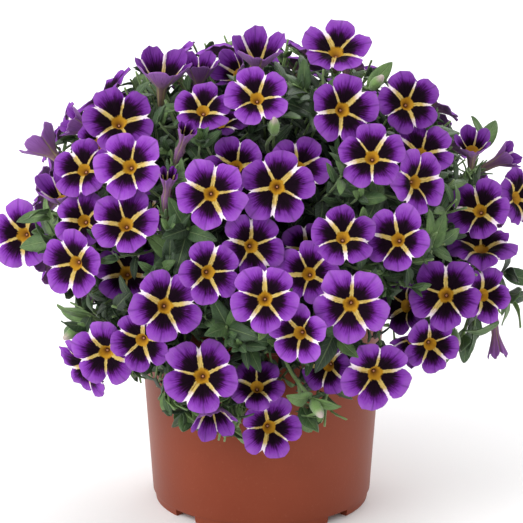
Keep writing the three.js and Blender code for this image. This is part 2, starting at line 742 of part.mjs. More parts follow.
// Grows a shoot from the fork that suits its end best, clear of the blooms and of the pot.
function growShoot(stem, end, heading, own, blooms, others, makeSolid) {
  const cost = (fork) => {
    const run = end.clone().sub(fork);
    return run.length() * (1.7 - run.normalize().dot(heading));
  };
  const forks = [...stem.forks].sort((a, b) => cost(a) - cost(b)).slice(0, FORK_TRIES);
  const near = blooms.filter((bloom) => bloom !== own && bloom.mouth.distanceTo(end) < 90);
  for (const fork of forks) {
    for (const route of shootRoutes(fork, end, heading)) {
      const points = along(route, 2.5);
      const free = points.every((p, i) => {
        const edge = i < 2 || i > points.length - 4;
        if (!edge && !inWedge(p, stem.k, 1.3)) return false;
        return clearOfPot(p, 1.6) && !near.some((b) => bloomHolds(b, p, SHOOT_RADIUS + 0.3));
      });
      if (!free) continue;
      const solid = makeSolid(route);
      if (!clearOf(solid, others, LEAST_GAP)) continue;
      stem.solids.push(solid);
      const kept = points.filter((p, i) => i % 2 === 0 && i > 0 && p.distanceTo(end) > 9);
      stem.forks.push(...kept.filter((p) => inWedge(p, stem.k, 1.6)));
      return route;
    }
  }
  return null;
}

// One side of a leaf's edge: [share of the length, share of the width].
const FULL_EDGE = [[0.32, 0.46], [0.68, 0.4]];
const PLAIN_EDGE = [[0.45, 0.5]];

// A leaf: a thin, slightly folded blade with a pointed tip. Returns its edge, starting at the
// root, and then the middle of its upper and lower faces.
function leafPoints({ root, run, face, length, width, curl, edge }) {
  const across = run.clone().cross(face).normalize();
  const at = (share, sideways, height) =>
    root
      .clone()
      .addScaledVector(run, share * length)
      .addScaledVector(across, sideways * width)
      .addScaledVector(face, height * length);
  const fold = (share) => 0.05 - curl * share ** 2;
  const right = edge.map(([share, out]) => at(share, out, fold(share)));
  const left = edge.map(([share, out]) => at(share, -out, fold(share))).reverse();
  return [at(0, 0, 0), ...right, at(1, 0, -curl), ...left, at(0.45, 0, 0), at(0.45, 0, -0.05)];
}

function leafSolid(points) {
  const count = points.length - 2;
  const triangles = [];
  for (let i = 0; i < count; i++) {
    const next = (i + 1) % count;
    triangles.push([count, next, i], [count + 1, i, next]);
  }
  return solidFrom(points, triangles);
}

// Adds a leaf to a stem where there is room for it.
function growLeaf(stem, leaf, blooms, others) {
  const points = leafPoints(leaf);
  const probes = points.slice(1);
  points.slice(1, -2).forEach((p) => probes.push(p.clone().lerp(points[points.length - 2], 0.5)));
  if (!probes.every((p) => inWedge(p, stem.k, 1) && clearOfPot(p, 1.2))) return false;
  const near = blooms.filter((bloom) => bloom.mouth.distanceTo(leaf.root) < 60);
  if (near.some((bloom) => probes.some((p) => bloomHolds(bloom, p, 0.4)))) return false;
  const solid = leafSolid(points);
  if (!clearOf(solid, others, LEAST_GAP)) return false;
  stem.solids.push(solid);
  return true;
}

// Leaves that stand round the end of a shoot.
function tuftLeaves(tip, back, heading, count, draw) {
  const leaves = [];
  const start = draw() * 2 * Math.PI;
  const side = heading.clone().cross(Math.abs(heading.z) > 0.9 ? vec(1, 0, 0) : UP).normalize();
  for (let i = 0; i < count; i++) {
    const outwards = side.clone().applyAxisAngle(heading, start + i * GOLDEN_ANGLE);
    const lean = rad(THREE.MathUtils.lerp(TUFT_LEAN[0], TUFT_LEAN[1], i / count));
    const run = heading.clone().multiplyScalar(Math.cos(lean));
    run.addScaledVector(outwards, Math.sin(lean)).normalize();
    const face = heading.clone().addScaledVector(run, -heading.dot(run)).normalize();
    const length = TUFT_LEAF + (TUFT_LEAF_GAIN * i) / count + LEAF_VARIES * draw();
    const root = tip.clone().addScaledVector(back, 1 + 1.5 * i).addScaledVector(run, -LEAF_SINK);
    const [width, curl] = [length * LEAF_WIDTH, 0.08 + 0.1 * draw()];
    leaves.push({ root, run, face, length, width, curl, edge: FULL_EDGE });
  }
  return leaves;
}

// Leaves that stand by turns on both sides of a shoot.
function shootLeaves(route, draw) {
  const leaves = [];
  const points = along(route, LEAF_SPACING / LEAF_EVERY);
  for (let i = 4; i < points.length - 6; i += LEAF_EVERY) {
    const root = points[i];
    const ahead = points[i + 1].clone().sub(root).normalize();
    const outwards = vec(root.x, root.y, (root.z - MOUND_CENTRE) * 0.6).normalize();
    const side = ahead.clone().cross(outwards).normalize();
    if (draw() < 0.5) side.negate();
    const run = side.multiplyScalar(0.8).addScaledVector(outwards, 0.6);
    run.addScaledVector(ahead, 0.35).normalize();
    const face = ahead.clone().addScaledVector(outwards, 0.5);
    face.addScaledVector(run, -face.dot(run)).normalize();
    const length = SHOOT_LEAF + 2 * LEAF_VARIES * draw();
    const width = length * LEAF_WIDTH;
    root.addScaledVector(run, -LEAF_SINK);
    leaves.push({ root, run, face, length, width, curl: LEAF_CURL, edge: PLAIN_EDGE });
  }
  return leaves;
}

// A bud: a plump pointed drop, five-sided.
function budSolid(tip, heading) {
  const profile = BUD_PROFILE.map(([r, y]) => new THREE.Vector2(r, y));
  const geometry = new THREE.LatheGeometry(profile, 5);
  geometry.applyQuaternion(new THREE.Quaternion().setFromUnitVectors(vec(0, 1, 0), heading));
  const seat = tip.clone().addScaledVector(heading, -1);
  geometry.translate(seat.x, seat.y, seat.z);
  return solidOf(geometry);
}

function tuftSpots(draw) {
  const spots = TUFTS.map(([across, down, depth, yaw, pitch, kind]) => {
    const line = sightLine(across, down);
    const place = onMound(line).addScaledVector(line, depth + 6);
    return { place, heading: facing(yaw, pitch), kind };
  });
  for (let i = 0; i < BACK_TUFTS; i++) {
    const turn = rad(-5 + (190 * (i + 0.5)) / BACK_TUFTS);
    const level = -0.25 + 1.05 * ((i * 0.618) % 1);
    const round = Math.sqrt(1 - level * level);
    const heading = vec(Math.cos(turn) * round, Math.sin(turn) * round, level);
    const place = heading.clone().multiplyScalar(MOUND_RADIUS - 8 - 6 * draw());
    place.z = MOUND_CENTRE + heading.z * (MOUND_HALF_HEIGHT - 8);
    spots.push({ place, heading, kind: i % 4 === 3 ? 'bud' : 'leaves' });
  }
  return spots;
}

// Points on the core's skin where a leaf stands, spread evenly.
function coreLeaves(draw) {
  const leaves = [];
  for (let i = 0; i < CORE_LEAVES; i++) {
    const level = 0.97 - (1.5 * (i + 0.5)) / CORE_LEAVES;
    const round = Math.sqrt(1 - level * level);
    const turn = i * GOLDEN_ANGLE;
    const outwards = vec(Math.cos(turn) * round, Math.sin(turn) * round, level);
    const root = coreSkin(outwards);
    const twist = draw() * 2 * Math.PI;
    const side = outwards.clone().cross(UP).normalize().applyAxisAngle(outwards, twist);
    const run = outwards.clone().multiplyScalar(0.85).addScaledVector(side, 0.55).normalize();
    const face = side.clone().negate().addScaledVector(outwards, 0.4);
    face.addScaledVector(run, -face.dot(run)).normalize();
    const length = CORE_LEAF + 2 * LEAF_VARIES * draw();
    const width = length * LEAF_WIDTH;
    leaves.push({ root, run, face, length, width, curl: LEAF_CURL, edge: PLAIN_EDGE });
  }
  return leaves;
}

// Where a line from the core's middle leaves it, less a little for the root.
function coreSkin(outwards) {
  const middle = vec(0, 0, CORE_MIDDLE);
  for (let reach = 100; reach > 10; reach--) {
    const point = middle.clone().addScaledVector(outwards, reach);
    if (inCore(point)) return middle.addScaledVector(outwards, reach - 2);
  }
  return middle;
}

function inCore(point) {
  const out = Math.hypot(point.x, point.y);
  const profile = coreProfile(stemOf(point));
  for (let i = 1; i < profile.length; i++) {
    const [r0, z0] = profile[i - 1];
    const [r1, z1] = profile[i];
    if (z1 <= z0 || point.z < z0 || point.z > z1) continue;
    return out < r0 + ((r1 - r0) * (point.z - z0)) / (z1 - z0);
  }
  return false;
}

function growStems(blooms, others) {
  const draw = makeDraw(23);
  const stems = Array.from({ length: STEM_COUNT }, (_, k) => {
    return { k, solids: [coreSolid(k)], forks: coreForks(k) };
  });
  const addLeaf = (stem, leaf) => growLeaf(stem, leaf, blooms, others);
  const byDepth = [...blooms].sort((a, b) => reachOf(a.mouth) - reachOf(b.mouth));
  const shoots = [];
  for (const bloom of byDepth) {
    const end = bloomPoint(bloom, 0, 0, -TUBE_LENGTH - CALYX_GAP - CALYX_LENGTH);
    const stem = stems[stemOf(end)];
    const make = (route) => stalkSolid(route, bloom);
    const route = growShoot(stem, end, bloom.axis, bloom, blooms, others, make);
    if (route) shoots.push([stem, route]);
  }
  for (const { place, heading, kind } of tuftSpots(draw)) {
    const stem = stems[stemOf(place)];
    const make = (route) => {
      const shoot = shootSolid(route, heading);
      return kind === 'bud' ? shoot.add(budSolid(place, heading)) : shoot;
    };
    const route = growShoot(stem, place, heading, null, blooms, others, make);
    const before = route ? route[route.length - 2] : place.clone().sub(heading);
    const back = before.clone().sub(place).normalize();
    const leaves = tuftLeaves(place, back, heading, LEAVES_IN_TUFT[kind], draw);
    if (route) leaves.forEach((leaf) => addLeaf(stem, leaf));
  }
  shoots.forEach(([stem, route]) => {
    shootLeaves(route, draw).forEach((leaf) => addLeaf(stem, leaf));
  });
  coreLeaves(draw).forEach((leaf) => addLeaf(stems[stemOf(leaf.root)], leaf));
  return stems.map((stem) => wasm.Manifold.union(stem.solids));
}

// How far out a point lies, as a share of the mound.
function reachOf(point) {
  const out = Math.hypot(point.x, point.y) / MOUND_RADIUS;
  return Math.hypot(out, (point.z - MOUND_CENTRE) / MOUND_HALF_HEIGHT);
}

// ---- pot and soil -------------------------------------------------------------------------

function lathe(profile, sides) {
  const points = profile.map(([r, z]) => new THREE.Vector2(r, z));
  const geometry = new THREE.LatheGeometry(points, sides);
  geometry.rotateX(Math.PI / 2);
  return solidOf(geometry);
}

function cylinder(radius, height, sides, x, y, z) {
  const geometry = new THREE.CylinderGeometry(radius, radius, height, sides);
  geometry.rotateX(Math.PI / 2);
  geometry.translate(x, y, z);
  return solidOf(geometry);
}

function potSolid() {
  const lip = POT_HEIGHT - POT_RIM_HEIGHT;
  const floor = FOOT_HEIGHT + POT_WALL;
  const foot = POT_BASE_RADIUS - FOOT_STEP;
  let pot = lathe(
    [
      [0, NOTCH_HEIGHT],
      [foot - FOOT_WIDTH, NOTCH_HEIGHT],
      [foot - FOOT_WIDTH + 0.6, 0],
      [foot - 0.4, 0],
      [foot, FOOT_HEIGHT],
      [POT_BASE_RADIUS, FOOT_HEIGHT + 0.5],
      [POT_TOP_RADIUS, lip],
      [POT_RIM_RADIUS, lip + 0.6],
      [POT_RIM_RADIUS, POT_HEIGHT - 0.8],
      [POT_RIM_RADIUS - 0.8, POT_HEIGHT],
      [POT_RIM_RADIUS - POT_WALL, POT_HEIGHT],
      [POT_TOP_RADIUS - POT_WALL, lip - 1],
      [POT_BASE_RADIUS - POT_WALL, floor],
      [0, floor],
    ],
    POT_SIDES,
  );
  for (let i = 0; i < NOTCH_COUNT; i++) {
    const angle = ((i + 0.5) * 2 * Math.PI) / NOTCH_COUNT;
    const notch = new THREE.BoxGeometry(24, NOTCH_WIDTH, 2 * NOTCH_HEIGHT);
    notch.translate(POT_BASE_RADIUS, 0, 0);
    notch.rotateZ(angle);
    const [x, y] = [Math.cos(angle) * DRAIN_HOLE_RING, Math.sin(angle) * DRAIN_HOLE_RING];
    pot = pot.subtract(solidOf(notch)).subtract(cylinder(DRAIN_HOLE_RADIUS, 8, 8, x, y, floor));
  }
  return pot;
}

function soilSolid() {
  const taper = (POT_TOP_RADIUS - POT_BASE_RADIUS) / (POT_HEIGHT - POT_RIM_HEIGHT);
  const inner = POT_BASE_RADIUS - POT_WALL - SOIL_CLEARANCE;
  const bottom = FOOT_HEIGHT + POT_WALL + SOIL_CLEARANCE;
  let soil = lathe(
    [
      [0, bottom],
      [inner - 0.4, bottom],
      [inner - 0.5 + taper * (SOIL_TOP - 8), SOIL_TOP - 2],
      [inner - 2.5 + taper * (SOIL_TOP - 8), SOIL_TOP],
      [0, SOIL_TOP + SOIL_DOME],
    ],
    24,
  );
  for (let k = 0; k < STEM_COUNT; k++) {
    const [x, y] = [Math.cos(stemAngle(k)) * STEM_RING, Math.sin(stemAngle(k)) * STEM_RING];
    const hole = new THREE.LineCurve3(vec(x, y, STEM_ROOT - 0.6), vec(x * 1.3, y * 1.3, STEM_TOP));
    soil = soil.subtract(tube(hole, STEM_RADIUS + STEM_HOLE_CLEARANCE, 6, 1));
  }
  return soil;
}

// ---- assembly -----------------------------------------------------------------------------

const plastic = new THREE.MeshStandardMaterial({ color: 0x9c5540, roughness: 0.45, metalness: 0 });
const earth = new THREE.MeshStandardMaterial({ color: 0x2e2119, roughness: 1, metalness: 0 });
const foliage = new THREE.MeshStandardMaterial({ color: 0x47643c, roughness: 0.75, metalness: 0 });
const petal = new THREE.MeshStandardMaterial({ color: 0x7a2fb4, roughness: 0.6, metalness: 0 });

const group = new THREE.Group();
group.add(meshOf('pot', lean(potSolid(), SLIVERS), plastic));
group.add(meshOf('soil', lean(soilSolid(), SLIVERS), earth));

const blooms = placeBlooms();
const bloomGroups = groupBlooms(blooms);
growStems(blooms, bloomGroups).forEach((solid, k) => {
  group.add(meshOf(`leafy_stem_${k + 1}`, lean(solid, SLIVERS), foliage));
});
bloomGroups.forEach((solid, n) => {
  group.add(meshOf(`blooms_${n + 1}`, lean(solid, BLOOM_SLIVERS), petal));
});

export default group;
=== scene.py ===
"""A calibrachoa in full bloom in a 12 cm nursery pot.

Lengths are worked out in millimetres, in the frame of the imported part, and turned into metres
when a mesh is made. The rules that place blooms, shoots and leaves are those of the part's own
source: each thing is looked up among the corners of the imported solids, so that the finer pieces
stand exactly where the solids do.
"""

import math
from itertools import product
from types import SimpleNamespace

import bpy
import numpy as np
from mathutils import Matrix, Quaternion, Vector, noise
from mathutils.bvhtree import BVHTree
from mathutils.kdtree import KDTree


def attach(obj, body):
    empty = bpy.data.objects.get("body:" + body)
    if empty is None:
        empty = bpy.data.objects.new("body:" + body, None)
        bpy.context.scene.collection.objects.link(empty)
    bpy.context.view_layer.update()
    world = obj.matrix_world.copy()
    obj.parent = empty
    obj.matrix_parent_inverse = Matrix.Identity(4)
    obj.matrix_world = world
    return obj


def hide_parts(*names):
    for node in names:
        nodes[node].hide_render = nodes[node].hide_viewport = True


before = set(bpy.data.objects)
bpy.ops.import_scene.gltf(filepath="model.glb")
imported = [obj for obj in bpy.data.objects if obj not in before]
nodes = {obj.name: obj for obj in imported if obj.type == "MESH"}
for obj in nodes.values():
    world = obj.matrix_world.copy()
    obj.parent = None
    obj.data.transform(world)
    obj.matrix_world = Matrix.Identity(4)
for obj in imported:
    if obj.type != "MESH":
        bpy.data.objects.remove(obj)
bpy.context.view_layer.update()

MM = 0.001
TAU = 2 * math.pi

# ---- sizes of the part, in millimetres ----

POT_HEIGHT = 100
POT_RIM_RADIUS = 60
POT_RIM_HEIGHT = 10
POT_TOP_RADIUS = 58.4
POT_BASE_RADIUS = 52.6
POT_WALL = 1.6
FOOT_HEIGHT = 4
FOOT_STEP = 0.9
FOOT_WIDTH = 5
NOTCH_COUNT = 4
NOTCH_HEIGHT = 3.3
NOTCH_WIDTH = 13
DRAIN_HOLE_RADIUS = 4
DRAIN_HOLE_RING = 36

MOUND_CENTRE = 130
MOUND_RADIUS = 113
MOUND_HALF_HEIGHT = 97

STEM_COUNT = 8
STEM_RADIUS = 2
STEM_RING = 18
STEM_ROOT = 70
STEM_TOP = 100
STEM_SPREAD = 1.3
CORE_MIDDLE = 132
CORE_FLOOR = 106
SHOOT_RADIUS = 0.9
SHOOT_STEP = 24
FORK_TRIES = 64
FORK_DEPTH = 0.08
LEAF_SPACING = 40
LEAF_EVERY = 20
LEAF_SINK = 0.8
LEAF_WIDTH = 0.43
LEAF_CURL = 0.12
LEAF_VARIES = 3
TUFT_LEAF = 15
TUFT_LEAF_GAIN = 5
TUFT_LEAN = (38, 80)
SHOOT_LEAF = 17
CORE_LEAF = 24
CORE_LEAVES = 30
GOLDEN_ANGLE = math.pi * (3 - math.sqrt(5))

THROAT_DEPTH = 4
NECK_DEPTH = 3.6
TUBE_RADIUS = 1.3
TUBE_LENGTH = 13
CALYX_GAP = 0.4
CALYX_LENGTH = 4

# The eye that the front's tables are seen from. It looks at a height on the axis, and its picture
# has this many square steps either way, each this wide at the part.
SIGHT_STEP = 0.477
SIGHT_STEPS = 523
SIGHT_MIDDLE = SIGHT_STEPS / 2
SIGHT_HEIGHT = 117.7
SIGHT_DISTANCE = 1600
SIGHT_TILT = 17

# The blooms in front: across, down, diameter, yaw, pitch, roll of the first ray, form.
FRONT_BLOOMS = [
    (202, 376, 34, -8, 22, -6, "open"),
    (269, 427, 29, 15, 8, -18, "open"),
    (375, 373, 33, 12, -3, 3, "open"),
    (351, 304, 34, -3, 5, 4, "open"),
    (446, 295, 33, -8, 22, 0, "open"),
    (165, 306, 33, 12, 18, 11, "open"),
    (211, 194, 32, 0, 15, 10, "open"),
    (277, 187, 33, 0, 15, 45, "open"),
    (342, 110, 32, 16, 17, 46, "open"),
    (119, 123, 33, 2, 44, 12, "open"),
    (142, 340, 28, -15, -2, 14, "open"),
    (106, 352, 31, -12, -2, 38, "open"),
    (257, 387, 26, 0, 45, -2, "open"),
    (265, 299, 31, 0, 20, -1, "open"),
    (251, 246, 30, 15, 17, -2, "open"),
    (398, 240, 30, -18, 25, -6, "open"),
    (480, 211, 30, -20, 34, 57, "open"),
    (407, 104, 30, 15, 28, 23, "open"),
    (130, 167, 32, -14, 28, 13, "open"),
    (126, 225, 32, -8, 40, -18, "open"),
    (76, 263, 31, -28, 8, 46, "open"),
    (208, 272, 29, 18, 15, 14, "open"),
    (127, 273, 31, -5, 35, 35, "open"),
    (309, 274, 29, -12, 28, 47, "open"),
    (300, 333, 28, -25, 8, 40, "open"),
    (328, 365, 27, -30, 6, 52, "open"),
    (372, 158, 31, -6, 35, 34, "open"),
    (415, 182, 30, 38, 12, 5, "open"),
    (257, 99, 30, -3, 43, 20, "open"),
    (343, 238, 30, 2, 42, 31, "open"),
    (481, 250, 33, 5, 72, 3, "open"),
    (483, 295, 27, 32, 15, -12, "open"),
    (516, 198, 29, 52, 20, 35, "open"),
    (24, 235, 33, -25, 12, 33, "open"),
    (84, 170, 29, -25, 38, 32, "open"),
    (203, 111, 27, -5, 48, 41, "open"),
    (218, 127, 29, 0, 80, -8, "open"),
    (336, 53, 33, 0, 58, 46, "open"),
    (406, 306, 27, -45, 10, 20, "open"),
    (63, 199, 24, -20, 66, 36, "cup"),
    (236, 167, 28, -12, 25, 12, "open"),
    (298, 168, 29, 5, 25, -8, "open"),
    (307, 250, 26, 0, 12, -8, "open"),
    (421, 154, 30, 8, 50, 17, "open"),
    (258, 62, 26, 5, 70, 30, "cup"),
    (162, 82, 27, 15, 74, 10, "cup"),
    (199, 76, 20, 10, 80, 0, "cup"),
    (97, 145, 23, -15, 40, -2, "open"),
    (49, 150, 21, -110, 42, 0, "cup"),
    (80, 126, 16, -80, 25, 0, "cup"),
    (430, 344, 26, 12, 0, 60, "open"),
    (413, 342, 18, -30, -25, 0, "cup"),
    (212, 410, 22, 10, -35, 15, "cup"),
    (84, 221, 27, -20, 30, -18, "open"),
    (152, 216, 24, -15, 35, 10, "open"),
    (238, 74, 20, -50, 35, 0, "cup"),
    (472, 150, 18, 0, 60, 20, "cup"),
    (502, 159, 15, 75, 30, 0, "cup"),
    (182, 145, 11, 25, 55, 0, "closed"),
    (167, 191, 11, 10, 60, 0, "closed"),
    (495, 330, 12, 20, -70, 0, "closed"),
]

# The tufts and buds in front: across, down, depth in the mound, yaw, pitch, kind.
TUFTS = [
    (303, 88, 8, 10, 60, "leaves"),
    (316, 118, 12, 20, 45, "leaves"),
    (165, 100, 8, -10, 70, "leaves"),
    (155, 128, 10, 0, 50, "leaves"),
    (274, 133, 8, 0, 50, "bud"),
    (47, 211, 2, -60, 40, "leaves"),
    (48, 243, 4, -60, 10, "leaves"),
    (88, 314, 2, -50, -15, "leaves"),
    (112, 306, 8, -20, 10, "leaves"),
    (84, 325, 0, -60, -25, "bud"),
    (188, 228, 8, 0, 20, "leaves"),
    (168, 262, 9, 0, 25, "leaves"),
    (226, 327, 3, 0, 20, "leaves"),
    (244, 349, 6, 0, -10, "leaves"),
    (269, 342, 8, 0, 30, "leaves"),
    (350, 189, 6, 0, 30, "bud"),
    (401, 191, 6, 10, 20, "bud"),
    (431, 246, 5, 10, 40, "leaves"),
    (474, 326, 4, 35, -30, "leaves"),
    (462, 338, 6, 30, -40, "leaves"),
    (451, 330, 2, 15, -20, "bud"),
    (508, 272, 3, 60, 10, "leaves"),
    (512, 300, 3, 70, -20, "leaves"),
    (484, 143, 3, 40, 60, "leaves"),
    (361, 80, 4, 10, 60, "leaves"),
    (372, 88, 2, 30, 40, "bud"),
    (425, 126, 6, 30, 60, "leaves"),
    (231, 436, 0, 0, -60, "bud"),
    (224, 432, 3, -20, -70, "leaves"),
    (313, 401, 0, 20, -20, "bud"),
    (303, 412, 4, 10, -75, "leaves"),
    (186, 410, 4, -10, -70, "leaves"),
    (340, 340, 8, 0, 0, "leaves"),
    (380, 200, 10, 0, 30, "leaves"),
]

# The rule for the blooms at the sides and the back.
BACK_STEPS = 46
BACK_BLOOMS = (3, 2, 3)
BACK_SPREAD = 17
BACK_DIAMETERS = (30, 35)
BACK_LOWEST = 78
BACK_EDGE = -0.3
BACK_DROP = 10
BACK_DEEPEST = 16
FRONT_DEEPEST = 60
SETTLE_STEP = 0.8
BACK_TUFTS = 16
LEAVES_IN_TUFT = {"leaves": 4, "bud": 2}

# ---- helpers ----

UP = Vector((0, 0, 1))
RIGHT = Vector((1, 0, 0))
MASK = 0xFFFFFFFF


def make_draw(seed):
    """A seeded source of even draws between 0 and 1."""
    state = seed

    def draw():
        nonlocal state
        state = (state + 0x6D2B79F5) & MASK
        t = ((state ^ (state >> 15)) * (1 | state)) & MASK
        t = ((t + (((t ^ (t >> 7)) * (61 | t)) & MASK)) & MASK) ^ t
        return (t ^ (t >> 14)) / 4294967296

    return draw


def lerp(a, b, share):
    return a + (b - a) * share


def jitter(draw, middle, size):
    """A random push. It leans upwards where the middle of its rise is under a half."""
    return Vector((draw() - 0.5, draw() - 0.5, draw() - middle)) * size


def bearing(turn, level=0):
    """The direction at a turn about the axis, with a level between -1 and 1 as its height."""
    ring = math.sqrt(1 - level * level)
    return Vector((math.cos(turn) * ring, math.sin(turn) * ring, level))


def distance_out(point):
    return math.hypot(point.x, point.y)


def turned(vector, axis, angle):
    return Quaternion(axis, angle) @ vector


def beside(ahead, turn):
    """The direction square to another one, at a turn about it."""
    return turned(ahead.orthogonal().normalized(), ahead, turn)


def square_to(axis, vector):
    """The direction of the part of a vector that is square to an axis."""
    return (vector - axis * vector.dot(axis)).normalized()


def circle(middle, lift, side, out, count):
    """Corners all the way round a middle, in the plane of two directions."""
    turns = [TAU * n / count for n in range(count)]
    return [middle + (lift * math.cos(t) + side * math.sin(t)) * out for t in turns]


def corners_of(names):
    """A KD-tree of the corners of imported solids, in millimetres, and each corner's node."""
    rows = [(v.co / MM, name) for name in names for v in nodes[name].data.vertices]
    tree = KDTree(len(rows))
    for index, (point, _) in enumerate(rows):
        tree.insert(point, index)
    tree.balance()
    return tree, [name for _, name in rows]


def surface_of(names):
    """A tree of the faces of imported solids, in millimetres."""
    points, faces = [], []
    for name in names:
        first = len(points)
        mesh = nodes[name].data
        points += [v.co / MM for v in mesh.vertices]
        faces += [[first + i for i in p.vertices] for p in mesh.polygons]
    return BVHTree.FromPolygons(points, faces)


BLOOM_NODES = sorted((n for n in nodes if n.startswith("blooms_")), key=lambda n: int(n[7:]))
STEM_NODES = [f"leafy_stem_{k + 1}" for k in range(STEM_COUNT)]
bloom_corners, bloom_corner_nodes = corners_of(BLOOM_NODES)
bloom_surface = surface_of(BLOOM_NODES)
stem_corners = [corners_of([name])[0] for name in STEM_NODES]
stem_surfaces = [surface_of([name]) for name in STEM_NODES]

# ---- sighting ----

TILT = math.radians(SIGHT_TILT)
SIGHT_FORWARD = Vector((0, math.cos(TILT), -math.sin(TILT)))
SIGHT_UP = Vector((0, math.sin(TILT), math.cos(TILT)))
SIGHT_EYE = Vector((0, 0, SIGHT_HEIGHT)) - SIGHT_FORWARD * SIGHT_DISTANCE


def sight_line(across, down):
    """The direction from the eye to a place in its picture."""
    line = SIGHT_FORWARD * SIGHT_DISTANCE
    line = line + Vector(((across - SIGHT_MIDDLE) * SIGHT_STEP, 0, 0))
    line = line - SIGHT_UP * ((down - SIGHT_MIDDLE) * SIGHT_STEP)
    return line.normalized()


def on_mound(line):
    """Where a line from the eye meets the mound's surface, or passes nearest to it."""
    stretch = MOUND_RADIUS / MOUND_HALF_HEIGHT
    start = np.array(SIGHT_EYE, float)
    start[2] = (start[2] - MOUND_CENTRE) * stretch
    run = np.array(line, float) * (1, 1, stretch)
    a, b, c = run @ run, start @ run, start @ start - MOUND_RADIUS**2
    reach = (-b - math.sqrt(max(0, b * b - a * c))) / a
    return SIGHT_EYE + line * reach


def facing(yaw, pitch):
    """The direction of something turned to the right and up from facing the front."""
    yaw, pitch = math.radians(yaw), math.radians(pitch)
    level = math.cos(pitch)
    return Vector((math.sin(yaw) * level, -math.cos(yaw) * level, math.sin(pitch)))


# ---- where the blooms are ----

LOBES = 5
LOBE_ANGLE = TAU / LOBES
# The rim points of one lobe: 0 is its notch, 1 a shoulder, 2 its tip.
FINE_LOBE = (0, 1, 2, 1)
PLAIN_LOBE = (0, 1, 1)
FINE_FROM = 31
RIM_WAVE = 0.04
WAVE_PITCH = 2.4
LEAST_LIFT = 0.15
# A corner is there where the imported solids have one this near.
MATCH = 0.05
LEAST_MATCHES = 4
# A rim bends at most this far, to a place between these shares of its neighbour's radius.
LONGEST_BEND = 16
LANDING_SHARES = (0.3, 0.68)
LANDING_TOP = 0.9

# The rim's notches, shoulders and tips as shares of the radius: how far out, and how high.
# The last value is the radius of the throat's mouth in millimetres.
FORMS = {
    "open": ((0.8, 0.98, 1.02), (0.2, 0.3, 0.26), 3),
    "cup": ((0.8, 0.95, 1.0), (0.62, 0.85, 0.95), 3),
    "closed": ((0.5, 0.85, 0.75), (1.7, 2.0, 2.3), 1.2),
}


class Bloom:
    """One corolla: where its mouth is, which way it looks, its size, turn and form."""

    def __init__(self, mouth, normal, diameter, roll, form, retreat, lobe):
        self.mouth = mouth
        self.axis = normal.normalized()
        lift = SIGHT_UP - self.axis * SIGHT_UP.dot(self.axis)
        if lift.length < LEAST_LIFT:
            lift = RIGHT - self.axis * self.axis.x
        self.lift = lift.normalized()
        self.side = self.lift.cross(self.axis)
        self.radius = diameter / 2
        self.roll = math.radians(roll)
        self.form = form
        self.retreat = retreat
        self.lobe = lobe
        self.node = None
        self.bends = {}

    def point(self, angle, out, height):
        turn = angle + self.roll
        across = self.lift * (math.cos(turn) * out) + self.side * (math.sin(turn) * out)
        return self.mouth + across + self.axis * height

    def rim_count(self):
        return len(self.lobe) * LOBES

    def rim_point(self, i):
        out, rise, _ = FORMS[self.form]
        kind = self.lobe[i % len(self.lobe)]
        wave = 1 + RIM_WAVE * math.sin(i * WAVE_PITCH + self.mouth.x)
        reach = out[kind] * self.radius * wave
        return self.point(i / len(self.lobe) * LOBE_ANGLE, reach, rise[kind] * self.radius)

    def signature(self):
        """Corners of its solid that tell where it is."""
        yield self.point(0, 0, -THROAT_DEPTH)
        for k in range(LOBES):
            yield self.point(k * LOBE_ANGLE, FORMS[self.form][2], 0)
            yield self.point(k * LOBE_ANGLE, TUBE_RADIUS, -TUBE_LENGTH)


def settle(bloom, deepest):
    """Finds how deep the bloom stands and its node. Says whether it is there at all."""
    start = bloom.mouth.copy()
    for step in range(int(deepest / SETTLE_STEP) + 1):
        bloom.mouth = start + bloom.retreat * (step * SETTLE_STEP)
        found = [bloom_corners.find(point) for point in bloom.signature()]
        near = [index for _, index, far in found if far < MATCH]
        if len(near) >= LEAST_MATCHES:
            bloom.node = bloom_corner_nodes[near[0]]
            return True
    return False


def front_blooms():
    """The blooms of the table, each on the mound where the photo shows it."""
    for across, down, diameter, yaw, pitch, roll, form in FRONT_BLOOMS:
        line = sight_line(across, down)
        lobe = FINE_LOBE if diameter >= FINE_FROM else PLAIN_LOBE
        yield Bloom(on_mound(line), facing(yaw, pitch), diameter, roll, form, line, lobe)


def back_blooms():
    """Small groups at golden turns about the axis, wherever the front's table ends."""
    draw = make_draw(7)
    spread = BACK_SPREAD / MOUND_RADIUS
    for i in range(BACK_STEPS):
        tip = bearing(i * GOLDEN_ANGLE, 1 - 2 * (i + 0.5) / BACK_STEPS)
        first = draw() * TAU
        across = Vector((-tip.y, tip.x, 0)).normalized()
        count = BACK_BLOOMS[i % len(BACK_BLOOMS)]
        for n in range(count):
            spin = first + n * TAU / count
            outwards = tip + across * (math.cos(spin) * spread)
            outwards = (outwards + tip.cross(across) * (math.sin(spin) * spread)).normalized()
            diameter = lerp(*BACK_DIAMETERS, draw())
            normal = outwards + jitter(draw, 0.2, 0.4)
            roll = draw() * (360 / LOBES)
            place = outwards * MOUND_RADIUS
            place.z = MOUND_CENTRE + outwards.z * (MOUND_HALF_HEIGHT - BACK_DROP)
            if place.z >= BACK_LOWEST and outwards.dot(SIGHT_FORWARD) >= BACK_EDGE:
                yield Bloom(place, normal, diameter, roll, "open", -outwards, PLAIN_LOBE)


def place_blooms():
    """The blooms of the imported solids, each at the depth where it stands there."""
    front = [bloom for bloom in front_blooms() if settle(bloom, FRONT_DEEPEST)]
    return front + [bloom for bloom in back_blooms() if settle(bloom, BACK_DEEPEST)]


